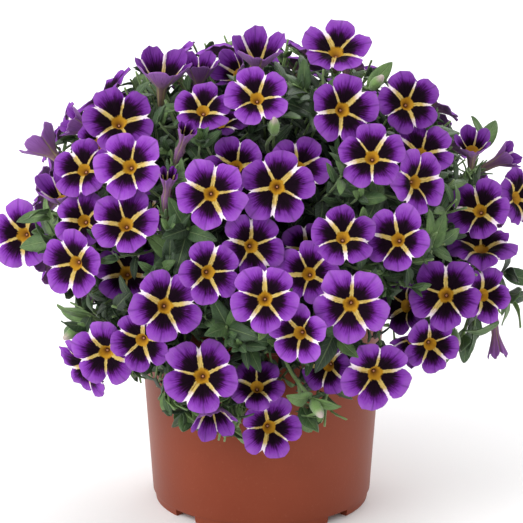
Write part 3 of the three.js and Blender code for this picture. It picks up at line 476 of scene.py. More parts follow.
def landing(bloom, point):
    """The point inside a neighbour's limb that a rim point sinks to."""
    away = point - bloom.mouth
    flat = away - bloom.axis * away.dot(bloom.axis)
    nearest, farthest = LANDING_SHARES
    share = min(farthest, max(nearest, flat.length / bloom.radius))
    rise = FORMS[bloom.form][1][1] * bloom.radius
    top = rise * share * LANDING_TOP
    bottom = -NECK_DEPTH + (NECK_DEPTH + rise) * share
    return bloom.mouth + flat.normalized() * (share * bloom.radius) + bloom.axis * ((top + bottom) / 2)


def find_bends(blooms):
    """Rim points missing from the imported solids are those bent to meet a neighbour."""
    for bloom in blooms:
        others = [b for b in blooms if b.node == bloom.node and b is not bloom and b.form == "open"]
        for i in range(bloom.rim_count()):
            point = bloom.rim_point(i)
            in_notch = bloom.lobe[i % len(bloom.lobe)] == 0
            if not others or in_notch or bloom_corners.find(point)[2] < MATCH:
                continue
            targets = [landing(other, point) for other in others]
            target = min(targets, key=lambda t: (t - point).length)
            if (target - point).length < LONGEST_BEND:
                bloom.bends[i] = target - point


# ---- where the shoots and leaves are ----

WEDGE = TAU / STEM_COUNT
# How far out and how high the core's skin runs, and how much each stem's core is swollen.
CORE_PROFILE = ((0, 97), (49, 97), (51, 106), (60, 115), (63, 136), (54, 157), (34, 173), (0, 179))
CORE_SWELL = (1.22, 1.26, 1.26, 1.22, 1.0, 0.95, 0.9, 1.08)
CORE_RISE = 0.7
CORE_SEARCH = range(100, 10, -1)
CORE_SINK = 2

# A shoot forks off the core at one of these places, by shares of a level and turns aside, or off
# another shoot, this far along it and this far from its end.
FORK_SHARES = (0, 0.5)
FORK_ASIDES = (-0.3, -0.15, 0, 0.15, 0.3)
FORK_SPACING = 2.5
FORK_CLEARANCE = 9
FORK_STRAIGHTNESS = 1.7
WEDGE_MARGIN = 1.6

# A shoot's route bends in front of its end, and low ones also over the pot's rim.
BEND_SHARE = 0.45
LONGEST_BEND_RUN = 14
LOW_END = 8
RIM_CLEARANCE = 9
ROUTE_SHIFTS = (0, 5, -5, 10, -10)
SHIFT_PER_RISE = 3

# A route is the solid's where enough spots of its sides lie on the solid's surface.
SPOT_SHARES = (0.15, 0.4, 0.65)
SPOT_SEARCH = 0.4
SPOT_NEAR = 0.12
SPOTS_FOUND = 0.6


def stem_angle(k):
    """The angle of the middle of a stem's wedge."""
    return WEDGE * (k + 0.5)


def wedge_angle(k, share):
    """The angle at a share of the way across a stem's wedge."""
    return stem_angle(k) + WEDGE * (share - 0.5)


def core_profile(k):
    """The core's profile, swollen above its floor as far as this stem's core is."""
    lift = 1 + (CORE_SWELL[k] - 1) * CORE_RISE
    grown = [(r * CORE_SWELL[k], CORE_FLOOR + (z - CORE_FLOOR) * lift) for r, z in CORE_PROFILE[3:]]
    return list(CORE_PROFILE[:3]) + grown


def stem_of(point):
    """The number of the stem in whose wedge a point lies."""
    turn = math.atan2(point.y, point.x) / TAU
    return int(math.floor((turn + 1) * STEM_COUNT)) % STEM_COUNT


def wedge_room(point, k):
    """How far inside its stem's own wedge of the plant a point lies."""
    turn = math.atan2(point.y, point.x) - stem_angle(k)
    folded = math.atan2(math.sin(turn), math.cos(turn))
    return distance_out(point) * math.sin(WEDGE / 2 - abs(folded))


def in_core(point):
    profile = core_profile(stem_of(point))
    for (r0, z0), (r1, z1) in zip(profile, profile[1:]):
        if z1 > z0 and z0 <= point.z <= z1:
            return distance_out(point) < r0 + (r1 - r0) * (point.z - z0) / (z1 - z0)
    return False


def core_skin(outwards):
    """The place just under the core's skin in a direction from its middle."""
    middle = Vector((0, 0, CORE_MIDDLE))
    for reach in CORE_SEARCH:
        if in_core(middle + outwards * reach):
            return middle + outwards * (reach - CORE_SINK)
    return middle


def core_forks(k):
    """The places just under the core's skin where shoots may start."""
    forks = []
    profile = core_profile(k)
    for (r0, z0), (r1, z1) in zip(profile[2:], profile[3:]):
        for share in FORK_SHARES:
            out = lerp(r0, r1, share) * (1 - FORK_DEPTH)
            skin = lerp(z0, z1, share)
            height = skin + (CORE_MIDDLE - skin) * FORK_DEPTH
            for aside in FORK_ASIDES:
                angle = stem_angle(k) + aside
                fork = Vector((math.cos(angle) * out, math.sin(angle) * out, height))
                if wedge_room(fork, k) > WEDGE_MARGIN:
                    forks.append(fork)
    return forks


def shoot_rings(route, lift, side):
    """The corners of a three-sided shoot, from its end back to its root."""
    rings = []
    ahead = lift.cross(side)
    for i in range(len(route) - 1, -1, -1):
        if i < len(route) - 1:
            heading = (route[max(i - 1, 0)] - route[i + 1]).normalized()
            turn = ahead.rotation_difference(heading)
            lift, side, ahead = turn @ lift, turn @ side, heading
        rings += circle(route[i], lift, side, SHOOT_RADIUS, 3)
    return rings


def shoot_routes(fork, end, heading):
    """The ways that the part's source tries, one after another, from a fork to a shoot's end."""
    length = (end - fork).length
    outwards = Vector((end.x, end.y, 0)).normalized()
    aside = Vector((-outwards.y, outwards.x, 0))
    bends = [end - heading * min(length * BEND_SHARE, LONGEST_BEND_RUN)]
    if end.z < POT_HEIGHT + LOW_END:
        over = outwards * (POT_RIM_RADIUS + RIM_CLEARANCE)
        over.z = POT_HEIGHT + RIM_CLEARANCE
        bends.insert(0, over)
    steps = max(1, math.floor(length / SHOOT_STEP + 0.5))
    for bend in bends:
        for shift in ROUTE_SHIFTS:
            middle = bend + aside * shift + UP * (abs(shift) / SHIFT_PER_RISE)
            route = []
            for t in [n / steps for n in range(steps + 1)]:
                route.append(fork * (1 - t) ** 2 + middle * (2 * t * (1 - t)) + end * t * t)
            yield route


def along(route, spacing):
    """Points along a route, at most a spacing apart."""
    points = []
    for a, b in zip(route, route[1:]):
        count = math.ceil((b - a).length / spacing)
        points += [a.lerp(b, n / count) for n in range(count)]
    return points


def in_mesh(route, lift, side, surface):
    """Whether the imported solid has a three-sided shoot along this route."""
    rings = shoot_rings(route, lift, side)
    hits = tries = 0
    for i in range(0, len(rings) - 3, 3):
        for share in SPOT_SHARES:
            for n in range(3):
                a, b = rings[i + n], rings[i + (n + 1) % 3]
                c, d = rings[i + 3 + n], rings[i + 3 + (n + 1) % 3]
                spot = ((a + b) / 2).lerp((c + d) / 2, share)
                found = surface.find_nearest(spot, SPOT_SEARCH)
                hits += found[3] is not None and found[3] < SPOT_NEAR
                tries += 1
            if hits < tries * SPOTS_FOUND:
                return False
    return True


def find_shoot(k, forks, end, heading, lift, side):
    """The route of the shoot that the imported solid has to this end, if any."""
    def cost(fork):
        run = end - fork
        return run.length * (FORK_STRAIGHTNESS - run.normalized().dot(heading))

    def can_fork(point):
        return (point - end).length > FORK_CLEARANCE and wedge_room(point, k) > WEDGE_MARGIN

    for fork in sorted(forks, key=cost)[:FORK_TRIES]:
        for route in shoot_routes(fork, end, heading):
            if in_mesh(route, lift, side, stem_surfaces[k]):
                forks += [p for p in along(route, FORK_SPACING)[2::2] if can_fork(p)]
                return route
    return None


# ---- mesh pieces ----


def new_object(name, data):
    """Puts a mesh, a lamp or a camera into the scene."""
    result = bpy.data.objects.new(name, data)
    bpy.context.scene.collection.objects.link(result)
    return result


def new_solid(name, points, faces):
    """An object with a mesh whose corners are given in millimetres."""
    mesh = bpy.data.meshes.new(name)
    mesh.from_pydata([[c * MM for c in p] for p in points], [], faces)
    return new_object(name, mesh)


class Skin:
    """Gathers the corners, faces and markings of one piece, in millimetres."""

    def __init__(self):
        self.points = []
        self.faces = []
        self.marks = []
        self.paints = []
        self.tints = []

    def add_faces(self, points, faces, marks, paints, tint):
        """marks holds each face's own markings coordinates, one pair for each corner."""
        first = len(self.points)
        self.points += [tuple(p) for p in points]
        self.faces += [tuple(first + i for i in face) for face in faces]
        self.marks += marks
        self.paints += paints
        self.tints += [tint] * len(points)

    def add(self, points, faces, spots, paint, tint):
        """spots holds one pair of markings coordinates for each point."""
        marks = [[spots[c] for c in face] for face in faces]
        self.add_faces(points, faces, marks, [paint] * len(faces), tint)

    def object(self, name, materials):
        result = new_solid(name, self.points, self.faces)
        mesh = result.data
        layer = mesh.uv_layers.new(name="marks")
        layer.data.foreach_set("uv", [c for face in self.marks for pair in face for c in pair])
        tint = mesh.attributes.new("tint", "FLOAT", "POINT")
        tint.data.foreach_set("value", self.tints)
        for material in materials:
            mesh.materials.append(material)
        mesh.polygons.foreach_set("material_index", self.paints)
        mesh.polygons.foreach_set("use_smooth", [True] * len(mesh.polygons))
        mesh.update()
        return result


def band(rows, columns, closed=True, first=0):
    """The four-sided faces between rows of corners; closed rows run all the way round."""
    faces = []
    for j in range(rows - 1):
        for i in range(columns if closed else columns - 1):
            a = first + j * columns + i
            b = first + j * columns + (i + 1) % columns
            faces.append((a, b, b + columns, a + columns))
    return faces


def tube(rows, columns):
    """A closed band with a flat cap at either end."""
    last = (rows - 1) * columns
    return band(rows, columns) + [tuple(range(columns))[::-1], tuple(range(last, last + columns))]


def fans(rows, columns, low, high, first=0):
    """Three-sided faces that close a band at its first row and at its last, to two points."""
    last = first + (rows - 1) * columns
    faces = []
    for i in range(columns):
        following = (i + 1) % columns
        faces += [(first + following, first + i, low), (last + i, last + following, high)]
    return faces


# ---- blooms ----

# Where the columns of a lobe's mesh stand, from its first notch to the next.
LOBE_COLUMNS = (0, 0.035, 0.08, 0.15, 0.25, 0.37, 0.5, 0.63, 0.75, 0.85, 0.92, 0.965)
COLUMNS = LOBES * len(LOBE_COLUMNS)
COLUMN_LOBE = np.repeat(np.arange(LOBES), len(LOBE_COLUMNS))
COLUMN_SHARE = np.tile(np.array(LOBE_COLUMNS), LOBES)
COLUMN_ANGLE = (COLUMN_LOBE + COLUMN_SHARE) * LOBE_ANGLE

# The rows of the mesh as shares: the pit from its floor out, the limb's face, and its back. Then
# the tube's rows, each how far out and how deep.
PIT_ROWS = (0.3, 0.62, 0.88)
LIMB_ROWS = (0, 0.06, 0.15, 0.26, 0.38, 0.5, 0.62, 0.73, 0.83, 0.91, 0.97, 1)
BACK_ROWS = (0.99, 0.9, 0.75, 0.56, 0.36, 0.18)
TUBE_ROWS = ((2.75, -2.4), (2.4, -3.6), (2.05, -6.5), (1.65, -10), (1.3, -12.6), (0.8, -13))
NECK_END = -3
NECK_SLACK = 0.25

PETAL_THICKNESS = 0.4
NECK_THICKNESS = 1.2
NOTCH_EXTRA = 0.06
NOTCH_SHARE = 0.06
SHOULDER_SHARE = 0.25
TIP_START = 0.2
TIP_SHARE = 0.3
LOBE_UNEVEN = 0.035
LOBE_BULGE = 0.085
RUFFLE = 0.05
RUFFLE_WAVES = (5, 8, 13, 19)
PETAL_CURL = (-0.13, 0.02)
CREASE = 0.45
CREASE_WIDTH = 0.05
BEND_WIDTH = 1.3
LONGEST_VISIBLE_BEND = 3
STIGMA_RADIUS = 0.6
STIGMA_DEPTH = -2.8
BALL_ROWS = 4
BALL_COLUMNS = 8
BALL_FLATNESS = 0.7

# The markings coordinates of each ray's sector lie this far from those of the one before.
RAY_STEP = 4

FACE, BACK, THROAT, STIGMA = range(4)


def ease(values):
    """An S-shaped step from 0 to 1."""
    values = np.clip(values, 0, 1)
    return values * values * (3 - 2 * values)


def limb_edge(bloom, place, draw):
    """How far out and how high the limb's edge is in each column of the mesh."""
    out, rise, _ = FORMS[bloom.form]
    notch = np.minimum(COLUMN_SHARE, 1 - COLUMN_SHARE)
    count = bloom.rim_count()
    ring = np.arange(count + 1)
    waves = 1 + RIM_WAVE * np.sin((ring % count) * WAVE_PITCH + bloom.mouth.x)
    shoulder = ease(notch / SHOULDER_SHARE) ** 0.6
    tip = ease((notch - TIP_START) / TIP_SHARE)
    reach = out[0] + (out[1] - out[0]) * shoulder + (out[2] - out[1]) * tip
    reach = reach - NOTCH_EXTRA * np.exp(-((notch / NOTCH_SHARE) ** 2))
    sizes = np.array([1 + LOBE_UNEVEN * (draw() * 2 - 1) for _ in range(LOBES)])
    swell = 1 + (sizes[COLUMN_LOBE] - 1) * np.sin(math.pi * COLUMN_SHARE)
    reach = reach * np.interp(place, ring, waves) * swell * bloom.radius
    height = (rise[0] + (rise[1] - rise[0]) * ease(notch / SHOULDER_SHARE)) * bloom.radius
    top = (rise[2] - rise[1]) * ease((notch - SHOULDER_SHARE) / SHOULDER_SHARE)
    return reach, height + top * bloom.radius


def limb_pull(bloom, place):
    """How far each column is drawn to the neighbours that the limb bends to."""
    pull = np.zeros((COLUMNS, 3))
    for i, bend in bloom.bends.items():
        away = np.abs(place - i)
        away = np.minimum(away, bloom.rim_count() - away)
        bend = bend.normalized() * min(bend.length, LONGEST_VISIBLE_BEND)
        pull += ease(1 - away / BEND_WIDTH)[:, None] * np.array(bend)
    return pull


def bloom_rows(bloom, draw):
    """The corners of a fine corolla, row by row from the pit over the rim to the tube's end."""
    throat = FORMS[bloom.form][2]
    radius = bloom.radius
    is_open = bloom.form == "open"
    steepness = 1.3 if bloom.form == "cup" else 0.78
    place = (COLUMN_LOBE + COLUMN_SHARE) * len(bloom.lobe)
    reach, height = limb_edge(bloom, place, draw)
    phases = [draw() * TAU for _ in RUFFLE_WAVES]
    ruffle = sum(np.sin(n * COLUMN_ANGLE + p) for n, p in zip(RUFFLE_WAVES, phases)) / 2
    curl = lerp(*PETAL_CURL, draw()) if is_open else 0
    bulge = LOBE_BULGE * radius * np.sin(math.pi * COLUMN_SHARE) ** 0.7
    crease = np.exp(-(((COLUMN_SHARE - 0.5) / CREASE_WIDTH) ** 2)) * CREASE
    pull = limb_pull(bloom, place)
    turn = COLUMN_ANGLE + bloom.roll
    spokes = np.cos(turn)[:, None] * np.array(bloom.lift)
    spokes = spokes + np.sin(turn)[:, None] * np.array(bloom.side)
    mouth, axis = np.array(bloom.mouth), np.array(bloom.axis)
    ones = np.ones(COLUMNS)

    def row(outs, heights, pulled=0):
        points = mouth + spokes * outs[:, None] + axis * np.asarray(heights)[:, None]
        return points + pull * pulled

    def limb(t, drop):
        outs = throat + (reach - throat) * t
        heights = height * t**steepness
        heights = heights + bulge * math.sin(math.pi * min(1, t * 1.05)) * is_open
        heights = heights - crease * math.sin(math.pi * t)
        heights = heights + ruffle * RUFFLE * radius * t * t + curl * radius * t**5
        return row(outs, heights - drop, t * t)

    rows = [row(ones * throat * s, ones * -THROAT_DEPTH * (1 - s) ** 0.8) for s in PIT_ROWS]
    rows += [limb(t, 0) for t in LIMB_ROWS]
    rows += [limb(t, PETAL_THICKNESS + NECK_THICKNESS * (1 - t) ** 3) for t in BACK_ROWS]
    narrow = min(1, throat / TUBE_ROWS[0][0] + NECK_SLACK)
    rows += [row(ones * r * (narrow if z > NECK_END else 1), ones * z) for r, z in TUBE_ROWS]
    return np.array(rows)


def petal_spot(corner, column, ray, share):
    """The markings coordinates of a corner, as seen from the middle of a ray's sector."""
    turn = COLUMN_ANGLE[corner % COLUMNS]
    if corner % COLUMNS == 0 and column == COLUMNS - 1:
        turn += TAU
    turn -= ray * LOBE_ANGLE
    aside = share[corner] * math.sin(turn) + RAY_STEP * (ray % LOBES)
    return aside, share[corner] * math.cos(turn)


def add_bloom(skin, bloom, draw):
    """One corolla with its stigma, the markings of each ray in their own sector."""
    rows = bloom_rows(bloom, draw)
    tint = draw()
    points = rows.reshape(-1, 3)
    axis = np.array(bloom.axis)
    flat = points - np.array(bloom.mouth)
    flat = flat - np.outer(flat @ axis, axis)
    share = np.linalg.norm(flat, axis=1) / bloom.radius
    faces = band(len(rows), COLUMNS)
    marks, paints = [], []
    pit = len(PIT_ROWS)
    limb = pit + len(LIMB_ROWS)
    for index, face in enumerate(faces):
        j, i = divmod(index, COLUMNS)
        lobe, column = divmod(i, len(LOBE_COLUMNS))
        ray = lobe if column < len(LOBE_COLUMNS) // 2 else lobe + 1
        marks.append([petal_spot(corner, i, ray, share) for corner in face])
        paints.append(THROAT if j < pit else FACE if j < limb - 1 else BACK)
    ends = [bloom.point(0, 0, -THROAT_DEPTH), bloom.point(0, 0, TUBE_ROWS[-1][1])]
    faces += fans(len(rows), COLUMNS, len(points), len(points) + 1)
    marks += [[(0, 0)] * 3] * (2 * COLUMNS)
    paints += [THROAT, BACK] * COLUMNS
    skin.add_faces(list(points) + ends, faces, marks, paints, tint)
    add_ball(skin, bloom.point(0, 0, STIGMA_DEPTH), bloom.axis, STIGMA_RADIUS, STIGMA, tint)


def add_ball(skin, middle, axis, radius, paint, tint):
    """A small round knob, slightly flattened along its axis."""
    lift = axis.orthogonal().normalized()
    side = axis.cross(lift)
    points = []
    for j in range(1, BALL_ROWS + 1):
        tip = math.pi * j / (BALL_ROWS + 1)
        height = axis * (BALL_FLATNESS * radius * math.cos(tip))
        corners = circle(middle, lift, side, radius * math.sin(tip), BALL_COLUMNS)
        points += [corner + height for corner in corners]
    skin.add(points, tube(BALL_ROWS, BALL_COLUMNS), [(0, 0)] * len(points), paint, tint)


# ---- leafy stems ----

LEAF, SHOOT, CALYX, CORE = range(4)
# The shares of a leaf's length and of its half width where the rows and columns of its mesh lie.
FINE_LEAF = ((0.06, 0.14, 0.25, 0.38, 0.52, 0.66, 0.79, 0.9, 0.97), (-1, -0.55, 0, 0.55, 1))
SMALL_LEAF = ((0.14, 0.38, 0.64, 0.88), (-1, 0, 1))
LEAF_THICKNESS = 0.6
LEAF_RIM = 0.55
LEAF_NARROWEST = 0.35
LEAF_ARCH = 0.05
LEAF_FOLD = 0.16
LEAF_TWIST = 0.25
LEAF_RUFFLE = 0.5
SHOOT_SIDES = 8
SHOOT_TAPER = (1.15, 0.85)
SPRIG_SCALE = 0.65
SEPAL_LENGTH = 7.5
SEPAL_WIDTH = 1.5
SEPAL_LEAN = (0.14, 0.34)
CORE_ROWS = 30
CORE_COLUMNS = 14
CORE_BUMP = 2.2
WEDGE_LAP = 0.3
WEDGE_OVERLAP = 4
STEM_SIDES = 12
STEM_BEND = 85
HAIR_LENGTH = 1.1
HAIR_WIDTH = 0.09

# The calyx's cup: how far out each row is, and how high from the seat of the corolla's tube.
CALYX_SEAT = -TUBE_LENGTH - CALYX_GAP
CALYX_ROWS = ((0.9, -CALYX_LENGTH), (1.5, -2.6), (2.1, -1.0), (2.2, -0.1))
CALYX_SIDES = 10
SEPAL_ROOT = (2.0, -0.8)

# The bud: how far out and how high each row is, then its height and its folds.
BUD_ROWS = ((0.9, 0), (2.0, 1.5), (2.75, 4), (2.7, 6.5), (2.3, 9), (1.6, 11.2), (0.8, 12.7))
BUD_LENGTH = 13
BUD_SIDES = 15
BUD_TWIST = 0.05
PLEAT = 0.16


def sheet_faces(rows, columns):
    """The faces of a thin sheet: its root, rows of upper corners, of lower ones, and its tip."""
    under = 1 + rows * columns
    tip = 2 * under - 1
    last = (rows - 1) * columns
    faces = band(rows, columns, closed=False, first=1)
    faces += [face[::-1] for face in band(rows, columns, closed=False, first=under)]
    for i in range(columns - 1):
        faces += [(0, i + 2, i + 1), (0, under + i, under + i + 1)]
        faces += [(tip, last + i + 1, last + i + 2), (tip, under + last + i + 1, under + last + i)]
    sides = []
    for j in range(rows - 1):
        for i in (0, columns - 1):
            a = 1 + j * columns + i
            b = a + columns
            sides.append((i, (a, b, b - 1 + under, a - 1 + under)))
    for i in (0, columns - 1):
        sides += [(i, (0, i + 1, under + i)), (i, (tip, under + last + i, last + i + 1))]
    return faces + [face if i == 0 else face[::-1] for i, face in sides]


def add_leaf(skin, root, run, face, length, width, curl, draw, tint, paint=LEAF, mesh=FINE_LEAF):
    """A thin blade with a sunken midrib, both of its faces and a closed rim."""
    places, hands = mesh
    across = run.cross(face).normalized()
    phase = draw() * TAU
    twist = lerp(-LEAF_TWIST, LEAF_TWIST, draw())
    tops, unders, spots = [], [], []
    for share in places:
        spread = math.sin(math.pi * share**0.8) ** 0.75 * width / 2
        spread = max(spread, LEAF_NARROWEST)
        drop = LEAF_ARCH * math.sin(math.pi * share) - curl * share**2
        for hand in hands:
            wave = math.sin(share * 9 + phase + hand) * LEAF_RUFFLE * abs(hand) * width / 10
            lift = LEAF_FOLD * abs(hand) ** 1.5 * spread + twist * hand * spread * share
            point = root + run * (share * length) + across * (hand * spread)
            point = point + face * (drop * length + lift + wave)
            tops.append(point)
            unders.append(point - face * (LEAF_THICKNESS * (LEAF_RIM if abs(hand) == 1 else 1)))
            spots.append((hand, share))
    tip = root + run * length - face * (curl * length + LEAF_THICKNESS / 2)
    points = [root, *tops, *unders, tip]
    faces = sheet_faces(len(places), len(hands))
    skin.add(points, faces, [(0, 0), *spots, *spots, (0, 1)], paint, tint)


def finer(route, steps):
    """A smooth line through a route's points."""
    points = []
    ends = [route[0] * 2 - route[1]] + list(route) + [route[-1] * 2 - route[-2]]
    for a, b, c, d in zip(ends, ends[1:], ends[2:], ends[3:]):
        for t in [n / steps for n in range(steps)]:
            square = (a * 2 - b * 5 + c * 4 - d) * t**2
            cube = (b * 3 - a - c * 3 + d) * t**3
            points.append((b * 2 + (c - a) * t + square + cube) / 2)
    points.append(route[-1].copy())
    return points


def add_shoot(skin, route, tint, scale=1):
    """A slightly uneven round shoot, thicker at its root, closed at both ends."""
    path = finer(route, 4 if scale == 1 else 2)
    ahead = (path[1] - path[0]).normalized()
    lift = ahead.orthogonal().normalized()
    points, spots = [], []
    travelled = 0
    for j, spot in enumerate(path):
        following = (path[min(j + 1, len(path) - 1)] - path[max(j - 1, 0)]).normalized()
        lift = ahead.rotation_difference(following) @ lift
        ahead = following
        if j:
            travelled += (spot - path[j - 1]).length
        thick = lerp(*SHOOT_TAPER, j / (len(path) - 1)) * SHOOT_RADIUS * scale
        thick *= 1 + 0.12 * math.sin(travelled * 0.9 + tint * 20)
        points += circle(spot, lift, ahead.cross(lift), thick, SHOOT_SIDES)
        spots += [(i / SHOOT_SIDES, travelled / 10) for i in range(SHOOT_SIDES)]
    skin.add(points, tube(len(path), SHOOT_SIDES), spots, SHOOT, tint)


def add_calyx(skin, bloom, draw, tint):
    """A small cup with five narrow sepals that hold the corolla's tube."""
    points = []
    for out, height in CALYX_ROWS:
        for i in range(CALYX_SIDES):
            points.append(bloom.point(i * TAU / CALYX_SIDES, out, CALYX_SEAT + height))
    faces = tube(len(CALYX_ROWS), CALYX_SIDES)
    skin.add(points, faces, [(0.2, 0.2)] * len(points), CALYX, tint)
    for k in range(LOBES):
        angle = (k + 0.5) * LOBE_ANGLE
        outwards = bloom.point(angle, 1, 0) - bloom.mouth
        root = bloom.point(angle, SEPAL_ROOT[0], CALYX_SEAT + SEPAL_ROOT[1])
        lean = lerp(*SEPAL_LEAN, draw())
        run = (bloom.axis + outwards * lean).normalized()
        face = (bloom.axis * lean - outwards).normalized()
        length = SEPAL_LENGTH * lerp(0.85, 1.1, draw())
        add_leaf(skin, root, run, face, length, SEPAL_WIDTH, 0.05, draw, tint, CALYX, SMALL_LEAF)


def add_bud(skin, tip, heading, tint):
    """A pleated, pointed bud, its mouth twisted shut."""
    lift = heading.orthogonal().normalized()
    side = heading.cross(lift)
    seat = tip - heading
    points, spots = [], []
    for j, (out, height) in enumerate(BUD_ROWS):
        for i in range(BUD_SIDES):
            turn = TAU * i / BUD_SIDES + height * BUD_TWIST
            pleat = 1 - PLEAT * (i % 3 == 0) * (j > 0)
            spoke = lift * math.cos(turn) + side * math.sin(turn)
            points.append(seat + spoke * (out * pleat) + heading * height)
            spots.append((i / BUD_SIDES, height / BUD_LENGTH))
    last = len(points) - BUD_SIDES
    faces = tube(len(BUD_ROWS), BUD_SIDES)[:-1]
    faces += [(last + i, last + (i + 1) % BUD_SIDES, len(points)) for i in range(BUD_SIDES)]
    points.append(seat + heading * BUD_LENGTH)
    skin.add(points, faces, spots + [(0, 1)], CALYX, tint + 1)


def core_rows(k):
    """How far out and how high each row of the core's mesh is, evenly spaced along its skin."""
    profile = core_profile(k)
    lengths = [0]
    for (r0, z0), (r1, z1) in zip(profile, profile[1:]):
        lengths.append(lengths[-1] + math.hypot(r1 - r0, z1 - z0))
    outs, heights = zip(*profile)
    places = [lengths[-1] * n / CORE_ROWS for n in range(1, CORE_ROWS)]
    return [(np.interp(at, lengths, outs), np.interp(at, lengths, heights)) for at in places]


def add_core(skin, k, draw):
    """The dense twiggy wedge inside the plant, its skin uneven."""
    points = []
    rows = core_rows(k)
    for out, height in rows:
        for i in range(CORE_COLUMNS):
            share = i / (CORE_COLUMNS - 1)
            angle = wedge_angle(k, share)
            spot = bearing(angle) * out
            spot.z = height
            bump = noise.noise(spot * 0.16) * CORE_BUMP - CORE_BUMP / 2
            inwards = Vector((-spot.x, -spot.y, CORE_MIDDLE - height)).normalized()
            aside = Vector((-math.sin(angle), math.cos(angle), 0))
            points.append(spot - inwards * bump + aside * ((share - 0.5) * 2 * WEDGE_LAP))
    low, high = len(points), len(points) + 1
    last = low - CORE_COLUMNS
    for height in (CORE_PROFILE[0][1], core_profile(k)[-1][1]):
        points.append(bearing(stem_angle(k)) + UP * height)
    faces = band(len(rows), CORE_COLUMNS, closed=False)
    for i in range(CORE_COLUMNS - 1):
        faces += [(low, i + 1, i), (high, last + i, last + i + 1)]
    sides = [(low, *range(i, low, CORE_COLUMNS), high) for i in (0, CORE_COLUMNS - 1)]
    faces += [sides[0], sides[1][::-1]]
    skin.add(points, faces, [(p.x / 20, p.z / 20) for p in points], CORE, draw())


def add_stem(skin, k):
    """The bare stem below the core, which stands in the soil."""
    foot = bearing(stem_angle(k)) * STEM_RING
    bend = foot * ((1 + STEM_SPREAD) / 2) + UP * STEM_BEND
    points = []
    for spot in (foot + UP * STEM_ROOT, bend, foot * STEM_SPREAD + UP * STEM_TOP):
        points += circle(spot, RIGHT, UP.cross(RIGHT), STEM_RADIUS, STEM_SIDES)
    skin.add(points, tube(3, STEM_SIDES), [(0.5, 0.5)] * len(points), SHOOT, 0.9)


def add_hair(skin, root, out, bend, tint):
    """One stiff short hair: a closed spike with three sides."""
    lift = out.orthogonal().normalized()
    points = circle(root, lift, out.cross(lift), HAIR_WIDTH, 3)
    points.append(root + out * HAIR_LENGTH + bend)
    faces = [(0, 1, 3), (1, 2, 3), (2, 0, 3), (2, 1, 0)]
    skin.add(points, faces, [(0.5, 0.5)] * len(points), CALYX, tint)


def add_hairs(skin, path, radius, count, draw, tint):
    """Hairs scattered over a shoot or calyx that follows a path."""
    for _ in range(count):
        i = min(int(draw() * (len(path) - 1)), len(path) - 2)
        ahead = (path[i + 1] - path[i]).normalized()
        spot = path[i].lerp(path[i + 1], draw())
        out = beside(ahead, draw() * TAU)
        bend = ahead * (0.5 * draw())
        add_hair(skin, spot + out * (radius - HAIR_WIDTH), out, bend, tint)


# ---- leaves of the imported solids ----

# The corners of a packed leaf's edge: their shares of its length and of its width.
FULL_EDGE = ((0.32, 0.46), (0.68, 0.4))
PLAIN_EDGE = ((0.45, 0.5),)
EDGE_FOLD = 0.05
EDGE_MATCH = 0.3
TUFT_TINTS = (0.3, 0.85)
TUFT_INSET = 8


def packed_leaf(root, run, upper, length, curl, edge):
    """A leaf of the part's source: its root, its run, the way its face looks, and its sizes."""
    return root, run, square_to(run, upper), length, length * LEAF_WIDTH, curl, edge


def leaf_in_solid(leaf, k):
    """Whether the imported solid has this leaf: most corners of its blade are there."""
    root, run, face, length, width, curl, edge = leaf
    across = run.cross(face).normalized()
    spots = [root + run * length - face * (curl * length)]
    for share, out in edge:
        fold = (EDGE_FOLD - curl * share**2) * length
        for hand in (-1, 1):
            spots.append(root + run * (share * length) + across * (hand * out * width) + face * fold)
    found = sum(stem_corners[k].find(spot)[2] < EDGE_MATCH for spot in spots)
    return found * 2 > len(spots)


def upright(heading):
    """A direction square to a heading, level unless the heading is steep."""
    return heading.cross(RIGHT if abs(heading.z) > 0.9 else UP).normalized()


def tuft_leaves(tip, back, heading, count, draw):
    """The leaves round a shoot's tip, each further back and leaning out more."""
    leaves = []
    start = draw() * TAU
    for i in range(count):
        outwards = turned(upright(heading), heading, start + i * GOLDEN_ANGLE)
        lean = math.radians(lerp(*TUFT_LEAN, i / count))
        run = (heading * math.cos(lean) + outwards * math.sin(lean)).normalized()
        length = TUFT_LEAF + TUFT_LEAF_GAIN * i / count + LEAF_VARIES * draw()
        root = tip + back * (1 + 1.5 * i) - run * LEAF_SINK
        leaves.append(packed_leaf(root, run, heading, length, 0.08 + 0.1 * draw(), FULL_EDGE))
    return leaves


def shoot_leaves(route, draw):
    """The leaves along a flower's stalk."""
    leaves = []
    points = along(route, LEAF_SPACING / LEAF_EVERY)
    for i in range(4, len(points) - 6, LEAF_EVERY):
        root = points[i]
        ahead = (points[i + 1] - root).normalized()
        outwards = Vector((root.x, root.y, (root.z - MOUND_CENTRE) * 0.6)).normalized()
        side = ahead.cross(outwards).normalized()
        if draw() < 0.5:
            side.negate()
        run = (side * 0.8 + outwards * 0.6 + ahead * 0.35).normalized()
        length = SHOOT_LEAF + 2 * LEAF_VARIES * draw()
        root = root - run * LEAF_SINK
        leaves.append(packed_leaf(root, run, ahead + outwards * 0.5, length, LEAF_CURL, PLAIN_EDGE))
    return leaves


def core_leaves(draw):
    """The leaves that stand on the cores, spread by golden turns."""
    leaves = []
    for i in range(CORE_LEAVES):
        outwards = bearing(i * GOLDEN_ANGLE, 0.97 - 1.5 * (i + 0.5) / CORE_LEAVES)
        side = turned(outwards.cross(UP).normalized(), outwards, draw() * TAU)
        run = (outwards * 0.85 + side * 0.55).normalized()
        length = CORE_LEAF + 2 * LEAF_VARIES * draw()
        upper = outwards * 0.4 - side
        leaves.append(packed_leaf(core_skin(outwards), run, upper, length, LEAF_CURL, PLAIN_EDGE))
    return leaves


